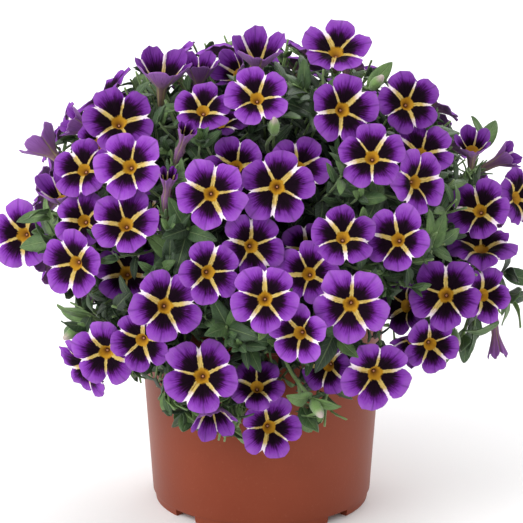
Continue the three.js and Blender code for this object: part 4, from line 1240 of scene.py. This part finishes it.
def tuft_spots(draw):
    """Where the tufts and buds are, which way they look and what they are."""
    spots = []
    for across, down, depth, yaw, pitch, kind in TUFTS:
        line = sight_line(across, down)
        spots.append((on_mound(line) + line * (depth + 6), facing(yaw, pitch), kind))
    for i in range(BACK_TUFTS):
        turn = math.radians(-5 + 190 * (i + 0.5) / BACK_TUFTS)
        heading = bearing(turn, -0.25 + 1.05 * ((i * 0.618) % 1))
        place = heading * (MOUND_RADIUS - TUFT_INSET - 6 * draw())
        place.z = MOUND_CENTRE + heading.z * (MOUND_HALF_HEIGHT - TUFT_INSET)
        spots.append((place, heading, "bud" if i % 4 == 3 else "leaves"))
    return spots


# ---- small leaves and side shoots ----

FILL_LEAVES = 120
FILL_LOWEST = -0.55
FILL_SIZES = (13, 22)
STALK_LEAF_STEP = 7
STALK_LEAF_START = 10
STALK_LEAF_SIZES = (10, 17)
LOWEST_ROOT = CORE_FLOOR + 2
SPRIG_TRIES = 38
SPRIG_LOWEST = -0.5
SPRIG_STEP = 3
SPRIG_LENGTHS = (12, 52)
SIDE_SPRIG_EVERY = 7
SIDE_SPRIG_LENGTHS = (6, 27)
SPRIG_LEAF_STEP = 6
SPRIG_LEAF_SIZES = (10, 16)
TIP_LEAVES = 4
TIP_LEAF_SIZES = (7, 12)
LOW_EDGE = 122
LOW_SHARE = 0.88
HANGING_FRONT = -50
HANGING_WIDTH = 48
HANGING_SHARE = 1.06
HANGING_BELOW = 112
HANGING_EVERY = 1
HANGING_PORTION = 0.6
HANGING_LENGTHS = (9, 48)
RIM_SPRIGS = 11
RIM_LEVELS = (-0.3, -0.19)
RIM_SPRIG_SHORTEST = 6
RIM_SPRIG_LONGEST = (9, 40)
RIM_DROOP = (0.16, 0.45)
POT_CLEARANCE = 1.5
BLADE_CLEARANCE = 1.2
SHOOT_CLEARANCE = 0.8
STALK_HAIRS = 26
CALYX_HAIRS = 22
BUD_HAIRS = 60


def mound_share(point):
    """How far out in the mound a point lies: 0 at its middle and 1 at its surface."""
    out = distance_out(point) / MOUND_RADIUS
    return math.hypot(out, (point.z - MOUND_CENTRE) / MOUND_HALF_HEIGHT)


def clear_of_pot(point):
    above = point.z > POT_HEIGHT + POT_CLEARANCE
    return above or distance_out(point) > POT_RIM_RADIUS + POT_CLEARANCE


def within_mound(point):
    """Whether a point lies inside the mound, which draws in low at its sides and hangs in front."""
    if point.y < HANGING_FRONT and abs(point.x) < HANGING_WIDTH:
        return mound_share(point) < HANGING_SHARE
    return mound_share(point) < (1 if point.z > LOW_EDGE else LOW_SHARE)


def has_room(k, points, gap):
    """Whether points stay about the stem's own wedge, off the pot and clear of every bloom."""
    return all(
        wedge_room(p, k) > -WEDGE_OVERLAP
        and clear_of_pot(p)
        and within_mound(p)
        and bloom_surface.find_nearest(p, gap)[0] is None
        for p in points
    )


def age_and_shade_tint(point, draw):
    """A leaf's tint: young and light at the mound's surface, darker inside from age and painted shade.
    """
    return min(1, max(0, (mound_share(point) - 0.5) * 1.9)) * lerp(0.5, 1, draw())


def add_blade(skin, k, root, run, upper, length, draw):
    """A small leaf, where there is room for it. Says whether it was added."""
    face = square_to(run, upper)
    width = length * lerp(0.34, 0.48, draw())
    across = run.cross(face)
    spots = [root + run * (length * share) for share in (0.3, 0.55, 0.8, 1)]
    spots += [root + run * (length * 0.45) + across * (width * hand) for hand in (-0.5, 0.5)]
    if not has_room(k, spots, BLADE_CLEARANCE):
        return False
    curl = lerp(-0.02, 0.16, draw())
    # Darker deeper in the mound, partly from age and partly as painted shade.
    tint = age_and_shade_tint(spots[2], draw)
    add_leaf(skin, root, run, face, length, width, curl, draw, tint, LEAF, SMALL_LEAF)
    return True


def add_fill_leaves(skin, k, draw):
    """Smaller leaves that hide the core: they stand on its skin wherever there is room."""
    for _ in range(FILL_LEAVES):
        outwards = bearing(wedge_angle(k, draw()), lerp(FILL_LOWEST, 1, draw()))
        root = core_skin(outwards)
        side = beside(outwards, draw() * TAU)
        run = (outwards * lerp(0.25, 0.9, draw()) + side).normalized()
        length = lerp(*FILL_SIZES, draw())
        if root.z > LOWEST_ROOT:
            add_blade(skin, k, root, run, outwards, length, draw)


def add_leaves_along(skin, k, path, step, sizes, draw):
    """Leaves that climb a shoot, each a golden turn round it from the one below."""
    turn = draw() * TAU
    for i in range(0, len(path) - 1, step):
        ahead = (path[i + 1] - path[i]).normalized()
        turn += GOLDEN_ANGLE
        length = lerp(*sizes, draw())
        for shift in (0, 1.2, -1.2, 2.4):
            side = beside(ahead, turn + shift)
            run = (ahead * 0.55 + side).normalized()
            root = path[i] + side * (SHOOT_RADIUS * 0.5)
            if add_blade(skin, k, root, run, ahead, length, draw):
                break


def add_sprig(skin, k, root, run, lengths, draw, droop=0):
    """A leafy side shoot without a flower, grown outwards as far as there is room."""
    path = [root]
    while len(path) * SPRIG_STEP < lengths[1]:
        following = path[-1] + run * SPRIG_STEP
        if not has_room(k, [following], SHOOT_RADIUS + SHOOT_CLEARANCE):
            break
        path.append(following)
        run = (run + jitter(draw, 0.4, 0.16) - UP * droop).normalized()
    if len(path) * SPRIG_STEP < lengths[0]:
        return
    tint = draw()
    add_shoot(skin, path, tint * 0.5, SPRIG_SCALE)
    add_leaves_along(skin, k, path, SPRIG_LEAF_STEP // SPRIG_STEP, SPRIG_LEAF_SIZES, draw)
    for n in range(TIP_LEAVES):
        side = beside(run, n * GOLDEN_ANGLE + tint * TAU)
        blade = (run + side * lerp(0.3, 0.9, draw())).normalized()
        length = lerp(*TIP_LEAF_SIZES, draw())
        add_blade(skin, k, path[-1] - blade * LEAF_SINK, blade, run, length, draw)


def add_sprigs(skin, k, draw):
    """Leafy shoots that start on the core."""
    for _ in range(SPRIG_TRIES):
        outwards = bearing(wedge_angle(k, draw()), lerp(SPRIG_LOWEST, 1, draw()))
        root = core_skin(outwards)
        run = (outwards + jitter(draw, 0.3, 0.8)).normalized()
        if root.z > LOWEST_ROOT:
            add_sprig(skin, k, root, run, SPRIG_LENGTHS, draw)


def add_rim_sprigs(skin, k, draw):
    """Leafy shoots that start low on the core and hang over the pot's lip."""
    for n in range(RIM_SPRIGS):
        angle = wedge_angle(k, (n + draw()) / RIM_SPRIGS)
        outwards = bearing(angle, lerp(*RIM_LEVELS, draw()))
        heading = bearing(angle + lerp(-0.6, 0.6, draw()))
        run = (heading + UP * lerp(-0.3, 0.4, draw())).normalized()
        lengths = (RIM_SPRIG_SHORTEST, lerp(*RIM_SPRIG_LONGEST, draw()))
        droop = lerp(*RIM_DROOP, draw())
        add_sprig(skin, k, core_skin(outwards), run, lengths, draw, droop)


def add_side_sprigs(skin, k, path, draw):
    """Short leafy shoots that branch off a flower's stalk, and hang from a low one."""
    hangs = path[-1].z < HANGING_BELOW
    step = HANGING_EVERY if hangs else SIDE_SPRIG_EVERY
    lengths = HANGING_LENGTHS if hangs else SIDE_SPRIG_LENGTHS
    for i in range(step // 2, len(path) - 1, step):
        ahead = (path[i + 1] - path[i]).normalized()
        side = beside(ahead, draw() * TAU)
        run = side + ahead * lerp(0.3, 1.2, draw())
        if hangs and draw() < HANGING_PORTION:
            outwards = Vector((path[i].x, path[i].y, 0)).normalized()
            run = side * 0.5 + outwards * 0.3 - UP
        add_sprig(skin, k, path[i], run.normalized(), lengths, draw)


# ---- what grows on each stem ----


def grow_stalks(blooms, skins, forks, draw):
    """The flowers' stalks and calyces. Gives each stalk's stem and route."""
    stalks = []
    for bloom in sorted(blooms, key=lambda b: mound_share(b.mouth)):
        neck = [bloom.point(0, 0, CALYX_SEAT - drop) for drop in (CALYX_LENGTH, 2, 0)]
        k = stem_of(neck[0])
        route = find_shoot(k, forks[k], neck[0], bloom.axis, bloom.lift, bloom.side)
        if route:
            tint = draw()
            stalks.append((k, route))
            add_shoot(skins[k], route, tint)
            add_calyx(skins[k], bloom, draw, tint)
            add_hairs(skins[k], finer(route, 4)[-8:], SHOOT_RADIUS * 0.9, STALK_HAIRS, draw, tint)
            add_hairs(skins[k], neck, 1.8, CALYX_HAIRS, draw, tint)
    return stalks


def add_packed_leaves(skin, k, leaves, draw, in_tuft=False):
    """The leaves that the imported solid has, those of tufts in lighter tints."""
    for leaf in leaves:
        if leaf_in_solid(leaf, k):
            # Leaves off the tufts are darker deeper in the mound, partly from age and partly as
            # painted shade.
            tint = lerp(*TUFT_TINTS, draw()) if in_tuft else age_and_shade_tint(leaf[0], draw)
            add_leaf(skin, *leaf[:6], draw, tint)


def grow_tufts(skins, forks, rule_draw, draw):
    """Shoots that end in a tuft of leaves or in a bud."""
    for place, heading, kind in tuft_spots(rule_draw):
        k = stem_of(place)
        lift = upright(heading)
        side = heading.cross(lift)
        if lift.cross(side).dot(heading) > 0:
            side.negate()
        route = find_shoot(k, forks[k], place, heading, lift, side)
        before = route[-2] if route else place - heading
        back = (before - place).normalized()
        leaves = tuft_leaves(place, back, heading, LEAVES_IN_TUFT[kind], rule_draw)
        if not route:
            continue
        add_shoot(skins[k], route, 0.3)
        if kind == "bud":
            add_bud(skins[k], place, heading, draw())
            add_hairs(skins[k], [place + heading * h for h in (0, 4, 8)], 2.5, BUD_HAIRS, draw, 0.5)
        add_packed_leaves(skins[k], k, leaves, draw, in_tuft=True)


def grow_stems(blooms):
    """One skin for each stem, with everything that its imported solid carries."""
    rule_draw, draw = make_draw(23), make_draw(41)
    skins = [Skin() for _ in range(STEM_COUNT)]
    forks = [core_forks(k) for k in range(STEM_COUNT)]
    for k, skin in enumerate(skins):
        add_core(skin, k, draw)
        add_stem(skin, k)
    stalks = grow_stalks(blooms, skins, forks, draw)
    grow_tufts(skins, forks, rule_draw, draw)
    for k, route in stalks:
        add_packed_leaves(skins[k], k, shoot_leaves(route, rule_draw), draw)
    for leaf in core_leaves(rule_draw):
        k = stem_of(leaf[0])
        add_packed_leaves(skins[k], k, [leaf], draw)
    for k, route in stalks:
        path = [p for p in along(finer(route, 4), 1) if not in_core(p)]
        path = path[STALK_LEAF_START:-STALK_LEAF_START]
        if len(path) > STALK_LEAF_STEP:
            add_leaves_along(skins[k], k, path, STALK_LEAF_STEP, STALK_LEAF_SIZES, draw)
            add_side_sprigs(skins[k], k, path, draw)
    for k, skin in enumerate(skins):
        add_sprigs(skin, k, draw)
        add_fill_leaves(skin, k, draw)
    for k, skin in enumerate(skins):
        add_rim_sprigs(skin, k, draw)
    return skins


# ---- pot ----

POT_COLUMNS = 128
CUTTER_SIDES = 24
CUTTER_REACH = 4
NOTCH_LENGTH = 24
SHARP_FROM = math.radians(40)


def pot_profile():
    """How far out and how high the pot's skin runs, from under its floor round to its inside."""
    lip = POT_HEIGHT - POT_RIM_HEIGHT
    floor = FOOT_HEIGHT + POT_WALL
    foot = POT_BASE_RADIUS - FOOT_STEP
    inner_foot = foot - FOOT_WIDTH
    return [
        (0, NOTCH_HEIGHT), (inner_foot - 0.3, NOTCH_HEIGHT), (inner_foot, NOTCH_HEIGHT - 0.3),
        (inner_foot + 0.6, 0.3), (inner_foot + 0.9, 0), (foot - 0.7, 0), (foot - 0.4, 0.2),
        (foot - 0.1, 2), (foot, FOOT_HEIGHT - 0.2), (foot + 0.15, FOOT_HEIGHT),
        (POT_BASE_RADIUS - 0.2, FOOT_HEIGHT + 0.2), (POT_BASE_RADIUS, FOOT_HEIGHT + 0.6),
        (lerp(POT_BASE_RADIUS, POT_TOP_RADIUS, 0.5), (lip + FOOT_HEIGHT) / 2),
        (POT_TOP_RADIUS, lip - 0.3), (POT_TOP_RADIUS + 0.3, lip), (POT_RIM_RADIUS - 0.3, lip + 0.4),
        (POT_RIM_RADIUS, lip + 0.8), (POT_RIM_RADIUS, POT_HEIGHT - 0.8),
        (POT_RIM_RADIUS - 0.25, POT_HEIGHT - 0.25), (POT_RIM_RADIUS - 0.8, POT_HEIGHT),
        (POT_RIM_RADIUS - POT_WALL + 0.3, POT_HEIGHT), (POT_RIM_RADIUS - POT_WALL, POT_HEIGHT - 0.3),
        (POT_TOP_RADIUS - POT_WALL, lip - 1), (POT_BASE_RADIUS - POT_WALL, floor + 0.6),
        (POT_BASE_RADIUS - POT_WALL - 0.6, floor), (0, floor),
    ]


def turned_solid(name, profile, columns, place=(0, 0, 0)):
    """A solid of revolution whose profile starts and ends on the axis."""
    points = [(0, 0, profile[0][1]), (0, 0, profile[-1][1])]
    for out, height in profile[1:-1]:
        for i in range(columns):
            turn = TAU * i / columns
            points.append((math.cos(turn) * out, math.sin(turn) * out, height))
    points = [[a + b for a, b in zip(point, place)] for point in points]
    rows = len(profile) - 2
    return new_solid(name, points, band(rows, columns, first=2) + fans(rows, columns, 0, 1, first=2))


def box_solid(name, size, place, angle):
    """A box at a place, all turned about the axis."""
    points = []
    for corner in product((-0.5, 0.5), repeat=3):
        spot = Vector([c * s for c, s in zip(corner, size)]) + Vector(place)
        points.append(turned(spot, UP, angle) * MM)
    faces = [(0, 1, 3, 2), (2, 3, 7, 6), (6, 7, 5, 4), (4, 5, 1, 0), (2, 6, 4, 0), (7, 3, 1, 5)]
    mesh = bpy.data.meshes.new(name)
    mesh.from_pydata(points, [], faces)
    return new_object(name, mesh)


def cut_away(solid, cutter):
    """Cuts one mesh out of another and drops the cutter."""
    modifier = solid.modifiers.new("cut", "BOOLEAN")
    modifier.operation = "DIFFERENCE"
    modifier.solver = "EXACT"
    modifier.object = cutter
    view = bpy.context.evaluated_depsgraph_get()
    result = bpy.data.meshes.new_from_object(solid.evaluated_get(view))
    solid.modifiers.clear()
    solid.data = result
    bpy.data.objects.remove(cutter)


def make_pot(material):
    """The pot, with its notches and drainage holes cut out of it."""
    pot = turned_solid("pot_fine", pot_profile(), POT_COLUMNS)
    floor = FOOT_HEIGHT + POT_WALL
    low, high = floor - CUTTER_REACH, floor + CUTTER_REACH
    hole = ((0, low), (DRAIN_HOLE_RADIUS, low), (DRAIN_HOLE_RADIUS, high), (0, high))
    notch = (NOTCH_LENGTH, NOTCH_WIDTH, 2 * NOTCH_HEIGHT)
    for i in range(NOTCH_COUNT):
        angle = (i + 0.5) * TAU / NOTCH_COUNT
        cut_away(pot, box_solid("notch", notch, (POT_BASE_RADIUS, 0, 0), angle))
        place = (math.cos(angle) * DRAIN_HOLE_RING, math.sin(angle) * DRAIN_HOLE_RING, 0)
        cut_away(pot, turned_solid("drain_hole", hole, CUTTER_SIDES, place))
    pot.data.materials.clear()
    pot.data.materials.append(material)
    pot.data.polygons.foreach_set("use_smooth", [True] * len(pot.data.polygons))
    pot.data.set_sharp_from_angle(angle=SHARP_FROM)
    return pot


# ---- materials ----


class Wire:
    """What comes out of a material's node. It takes part in plain arithmetic."""

    def __init__(self, paint, socket):
        self.paint = paint
        self.socket = socket

    def __add__(self, other):
        return self.paint.math("ADD", self, other)

    def __sub__(self, other):
        return self.paint.math("SUBTRACT", self, other)

    def __mul__(self, other):
        return self.paint.math("MULTIPLY", self, other)

    def __abs__(self):
        return self.paint.math("ABSOLUTE", self)


class Paint:
    """A procedural material, built node by node."""

    def __init__(self, name, **surface):
        self.material = bpy.data.materials.new(name)
        self.material.use_nodes = True
        self.tree = self.material.node_tree
        self.shader = self.tree.nodes["Principled BSDF"]
        for socket, value in surface.items():
            self.shader.inputs[socket.replace("_", " ")].default_value = value

    def feed(self, socket, value):
        if isinstance(value, Wire):
            self.tree.links.new(value.socket, socket)
        else:
            socket.default_value = value

    def node(self, kind, inputs=(), **settings):
        result = self.tree.nodes.new("ShaderNode" + kind)
        for name, value in settings.items():
            setattr(result, name, value)
        for socket, value in dict(inputs).items():
            self.feed(result.inputs[socket], value)
        return result

    def value(self, kind, inputs=(), output=0, **settings):
        return Wire(self, self.node(kind, inputs, **settings).outputs[output])

    def math(self, operation, *values):
        return self.value("Math", enumerate(values), operation=operation)

    def step(self, value, low, high):
        """A smooth step from 0 at low to 1 at high."""
        inputs = {"Value": value, "From Min": low, "From Max": high}
        return self.value("MapRange", inputs, interpolation_type="SMOOTHSTEP")

    def blend(self, share, first, second, **settings):
        """The first colour where the share is 0, the second where it is 1."""
        inputs = {0: share, 6: first, 7: second}
        return self.value("Mix", inputs, 2, data_type="RGBA", **settings)

    def shade(self, color, amount):
        """A colour made darker or lighter by an amount around 1."""
        return self.blend(1.0, color, amount, blend_type="MULTIPLY")

    def ramp(self, value, *stops):
        """Colours that run on from one stop to the next: each is its place and its rgb values."""
        result = self.node("ValToRGB", {"Fac": value})
        elements = result.color_ramp.elements
        while len(elements) < len(stops):
            elements.new(0.5)
        for element, (place, *color) in zip(elements, stops):
            element.position = place
            element.color = rgb(*color)
        return Wire(self, result.outputs[0])

    def noise(self, vector, scale, detail=2):
        inputs = {"Vector": vector, "Scale": scale, "Detail": detail}
        return self.value("TexNoise", inputs, "Fac")

    def grain(self, scale, detail=2):
        """A noise that is fixed to the object."""
        return self.noise(self.value("TexCoord", output="Object"), scale, detail)

    def vector(self, x, y, z):
        return self.value("CombineXYZ", {"X": x, "Y": y, "Z": z})

    def marks(self):
        """The piece's own markings coordinates and its tint."""
        pair = self.node("SeparateXYZ", {"Vector": self.value("UVMap", uv_map="marks")})
        tint = self.value("Attribute", output="Fac", attribute_name="tint")
        return Wire(self, pair.outputs[0]), Wire(self, pair.outputs[1]), tint

    def finish(self, color, height=None, depth=0.0002, roughness=None):
        self.feed(self.shader.inputs["Base Color"], color)
        if height is not None:
            bump = {"Height": height, "Distance": depth, "Strength": 1.0}
            self.feed(self.shader.inputs["Normal"], self.value("Bump", bump))
        if roughness is not None:
            self.feed(self.shader.inputs["Roughness"], roughness)
        return self.material


def rgb(red, green, blue):
    """A colour given in everyday 0 to 255 values."""
    def linear(value):
        share = value / 255
        return share / 12.92 if share < 0.04045 else ((share + 0.055) / 1.055) ** 2.4
    return (linear(red), linear(green), linear(blue), 1)


# What sets one ray apart from the next, and one bloom from another, in the petals' noises.
RAY_SEED = 0.93
BLOOM_SEED = 57.0
# The direction of a notch's side from the ray beside it: its sine and its cosine.
HALF_LOBE = (0.588, 0.809)


def petal_marks(paint, streaks):
    """Where a spot is on its petal, as shares of the radius: how far aside from the nearest ray,
    how far ahead along it and how far from the middle, with its turn from the ray, a seed for its
    ray and bloom, the bloom's tint, and the fibres that fan out from the middle."""
    sideways, ahead, tint = paint.marks()
    aside = paint.math("WRAP", sideways, RAY_STEP / 2, -RAY_STEP / 2)
    seed = tint * BLOOM_SEED + (sideways - aside) * RAY_SEED
    far = paint.math("POWER", aside * aside + ahead * ahead, 0.5)
    turn = paint.math("ARCTAN2", aside, ahead)
    fibre = paint.noise(paint.vector(turn * streaks, far * 2.0, seed), 1.6, 4)
    return SimpleNamespace(aside=aside, ahead=ahead, far=far, turn=turn, seed=seed, tint=tint,
                           fibre=fibre)


def petal_face():
    """Violet with a near-black heart, and a yellow ray to each notch that pales to white."""
    paint = Paint("petal_face", Roughness=0.75, Specular_IOR_Level=0.05, Sheen_Weight=0.01)
    at = petal_marks(paint, 16.0)
    place = paint.vector(at.aside, at.ahead, at.seed)
    cloud = paint.noise(place, 4.5, 3)
    ragged = paint.noise(place, 14, 3)
    reach = at.far - (at.fibre * 0.42 + cloud * 0.26 - 0.34)
    reach = reach - abs(at.turn) * 0.13 - 0.04 + at.tint * 0.08
    violet = paint.ramp(reach, (0.44, 20, 5, 18), (0.53, 46, 8, 52), (0.61, 86, 26, 114),
                        (0.74, 123, 56, 160), (1.0, 147, 88, 180))
    violet = paint.shade(violet, at.fibre * 0.5 + 0.75)
    violet = paint.shade(violet, at.tint * 0.3 + 0.84)
    # A darker line down each lobe's middle: its midvein, with painted shade in the lobe's crease.
    crease = paint.step(abs(at.turn), 0.575, 0.625)
    violet = paint.shade(violet, crease * -0.3 + 1.0)
    width = paint.math("SINE", at.seed) * 0.02 + 0.049
    width = width - paint.step(at.far, 0.35, 0.85) * 0.022
    width = width + paint.step(at.far, 0.66, 0.96) * 0.034
    width = width + (ragged - 0.5) * 0.06
    star = paint.step(abs(at.aside) - width, 0.012, -0.008)
    streak = paint.noise(paint.vector(at.aside * 60.0, at.ahead * 4.0, at.seed), 1.0, 3)
    yellow = paint.blend(paint.step(streak, 0.5, 0.72), rgb(206, 180, 104), rgb(130, 90, 44))
    pale = paint.step(cloud * 0.3 + at.far, 0.58, 0.84)
    color = paint.blend(star, violet, paint.blend(pale, yellow, rgb(246, 230, 242)))
    heart = abs(at.aside) * HALF_LOBE[0] + at.ahead * HALF_LOBE[1] + ragged * 0.1
    color = paint.blend(paint.step(heart, 0.27, 0.22), color, rgb(188, 140, 36))
    return paint.finish(color, at.fibre, 0.0003)


def petal_back():
    """Paler than the face, with yellowish ribs that run on down the tube."""
    paint = Paint("petal_back", Roughness=0.7, Specular_IOR_Level=0.25, Sheen_Weight=0.1)
    at = petal_marks(paint, 14.0)
    color = paint.ramp(at.fibre * 0.3 + at.far, (0.3, 124, 100, 84), (0.5, 138, 94, 134),
                       (0.8, 138, 82, 156), (1.0, 148, 94, 172))
    color = paint.shade(color, at.fibre * 0.6 + 0.7)
    rib = paint.step(abs(at.aside), 0.05, 0.01) * paint.step(at.far, 0.95, 0.5)
    color = paint.blend(rib * 0.8, color, rgb(158, 144, 98))
    return paint.finish(color, at.fibre, 0.0004)


def throat():
    """Golden yellow that darkens to brown inside the tube."""
    paint = Paint("throat", Roughness=0.55, Specular_IOR_Level=0.3)
    at = petal_marks(paint, 12.0)
    color = paint.ramp(at.fibre * 0.08 + at.far, (0.05, 78, 44, 20), (0.11, 140, 92, 26),
                       (0.19, 192, 144, 34))
    return paint.finish(color, at.fibre, 0.0002)


def stigma():
    """A dull pinkish knob."""
    paint = Paint("stigma", Roughness=0.45)
    grit = paint.grain(2500)
    return paint.finish(paint.blend(grit, rgb(150, 96, 70), rgb(206, 150, 116)), grit, 0.0001)


def leaf():
    """Grey green, matt, young leaves light and deep ones dark in painted shade; pale midrib, sunken
    veins.
    """
    paint = Paint("leaf", Roughness=0.5, Specular_IOR_Level=0.4, Sheen_Weight=0.08)
    across, ahead, tint = paint.marks()
    cloud = paint.grain(140, 3)
    down = paint.grain(2600)
    off = abs(across)
    # Deep leaves take the darkest stops, which are painted shade; the lightest stops are young leaves.
    color = paint.ramp(cloud * 0.5 + (tint - 0.25), (0.0, 15, 25, 16), (0.3, 31, 50, 30),
                       (0.62, 56, 84, 45), (1.0, 118, 150, 82))
    vein = paint.step(paint.math("PINGPONG", ahead * 7.0 - off * 1.6, 0.5), 0.07, 0.0)
    midrib = paint.step(off, 0.12, 0.02)
    ribs = paint.math("MAXIMUM", vein * 0.45, midrib)
    color = paint.shade(color, down * 0.5 + 0.75)
    color = paint.blend(ribs * 0.32, color, rgb(150, 172, 118))
    return paint.finish(color, down * 0.5 - ribs, 0.0003)


def shoot():
    """Green where young, brownish and striped where old, with short down."""
    paint = Paint("shoot", Roughness=0.6, Sheen_Weight=0.3, Sheen_Roughness=0.5)
    aside, ahead, tint = paint.marks()
    stripe = paint.noise(paint.vector(aside * 9.0, ahead, tint), 1.5, 3)
    down = paint.grain(3000)
    old = paint.step(stripe * 0.5 + (tint - 0.45), 0.0, 0.8)
    color = paint.blend(old, rgb(112, 140, 78), rgb(96, 88, 56))
    color = paint.shade(color, down * 0.5 + 0.75)
    return paint.finish(color, down, 0.0003)


def calyx():
    """Sepals and buds: fresh green, the tips of buds cream and lavender."""
    paint = Paint("calyx", Roughness=0.58, Sheen_Weight=0.35, Sheen_Roughness=0.5)
    _, ahead, tint = paint.marks()
    down = paint.grain(2400)
    green = paint.ramp(down * 0.5 + paint.math("FRACT", tint), (0.1, 78, 112, 60),
                       (1.0, 128, 164, 88))
    tip = paint.step(tint, 0.98, 1.0) * paint.step(ahead, 0.66, 0.95)
    color = paint.blend(tip, green, paint.blend(down, rgb(170, 140, 176), rgb(196, 190, 140)))
    return paint.finish(color, down, 0.0003)


def core():
    """Twigs and leaves deep inside the plant, coloured near-black green as painted shade."""
    paint = Paint("core", Roughness=0.85)
    twig = paint.grain(600, 3)
    # The near-black greens are painted shade of the plant's depths.
    color = paint.ramp(paint.grain(90, 4), (0.3, 14, 20, 13), (0.5, 26, 38, 24), (0.7, 42, 46, 30))
    color = paint.shade(color, twig * 0.9 + 0.5)
    return paint.finish(color, twig, 0.0015)


def pot_plastic():
    """Terracotta-coloured plastic, faintly clouded and dusty."""
    paint = Paint("pot_plastic", IOR=1.35, Specular_IOR_Level=0.35)
    cloud = paint.grain(22, 4)
    speck = paint.grain(900)
    color = paint.ramp(cloud, (0.3, 126, 56, 34), (0.55, 131, 60, 37), (0.75, 136, 63, 40))
    color = paint.blend(paint.step(speck, 0.6, 0.8) * 0.08, color, rgb(186, 132, 108))
    return paint.finish(color, speck, 0.00004, cloud * 0.12 + 0.36)


def soil():
    """Dark crumbs with a few pale flecks."""
    paint = Paint("soil", Roughness=0.95)
    crumb = paint.grain(260, 5)
    color = paint.ramp(crumb, (0.3, 30, 20, 14), (0.6, 64, 46, 34), (0.8, 96, 74, 56))
    color = paint.blend(paint.step(paint.grain(900), 0.68, 0.74), color, rgb(206, 200, 188))
    return paint.finish(color, crumb, 0.002)


def pale_floor():
    """The studio's floor."""
    paint = Paint("pale_floor", Roughness=0.9)
    return paint.finish(paint.blend(paint.grain(3), rgb(252, 252, 252), rgb(255, 255, 255)))


# ---- build ----

blooms = place_blooms()
find_bends(blooms)
skins = grow_stems(blooms)

petal_materials = [petal_face(), petal_back(), throat(), stigma()]
green_materials = [leaf(), shoot(), calyx(), core()]

bloom_draw = make_draw(11)
for name in BLOOM_NODES:
    skin = Skin()
    for bloom in blooms:
        if bloom.node == name:
            add_bloom(skin, bloom, bloom_draw)
    if not skin.points:
        continue
    piece = skin.object(name + "_fine", petal_materials)
    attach(piece, "root")
    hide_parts(name)

for name, skin in zip(STEM_NODES, skins):
    piece = skin.object(name + "_fine", green_materials)
    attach(piece, "root")
    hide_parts(name)

pot = make_pot(pot_plastic())
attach(pot, "root")
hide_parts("pot")

nodes["soil"].data.materials.clear()
nodes["soil"].data.materials.append(soil())

# ---- studio ----

SENSOR = 36
FLOOR_REACH = 6000
PLANT_MIDDLE = (0, 0, 0.13)
BEHIND_PLANT = (0.3, 0.1, 0)
SKY_STRENGTH = 0.9


def area_light(name, place, target, size, power):
    lamp = bpy.data.lights.new(name, "AREA")
    lamp.shape = "DISK"
    lamp.size = size
    lamp.energy = power
    result = new_object(name, lamp)
    result.location = place
    result.rotation_euler = (Vector(target) - Vector(place)).to_track_quat("-Z", "Y").to_euler()


floor_sides = ((-1, -1), (1, -1), (1, 1), (-1, 1))
floor = new_solid("floor", [(x * FLOOR_REACH, y * FLOOR_REACH, 0) for x, y in floor_sides], [range(4)])
floor.data.materials.append(pale_floor())

world = bpy.data.worlds.new("studio")
world.use_nodes = True
background = world.node_tree.nodes["Background"]
background.inputs["Color"].default_value = (1, 1, 1, 1)
background.inputs["Strength"].default_value = SKY_STRENGTH
bpy.context.scene.world = world
bpy.context.scene.view_settings.view_transform = "Standard"

area_light("key", (-1.5, -1.3, 1.6), PLANT_MIDDLE, 1.8, 37)
area_light("back", (0.8, 1.7, 1.7), BEHIND_PLANT, 1.6, 26)

lens = bpy.data.cameras.new("camera")
lens.sensor_width = SENSOR
lens.lens = SENSOR * SIGHT_DISTANCE / (SIGHT_STEPS * SIGHT_STEP)
lens.clip_end = 50
camera = new_object("camera", lens)
camera.location = SIGHT_EYE * MM
camera.rotation_euler = SIGHT_FORWARD.to_track_quat("-Z", "Y").to_euler()
bpy.context.scene.camera = camera

bpy.context.view_layer.update()
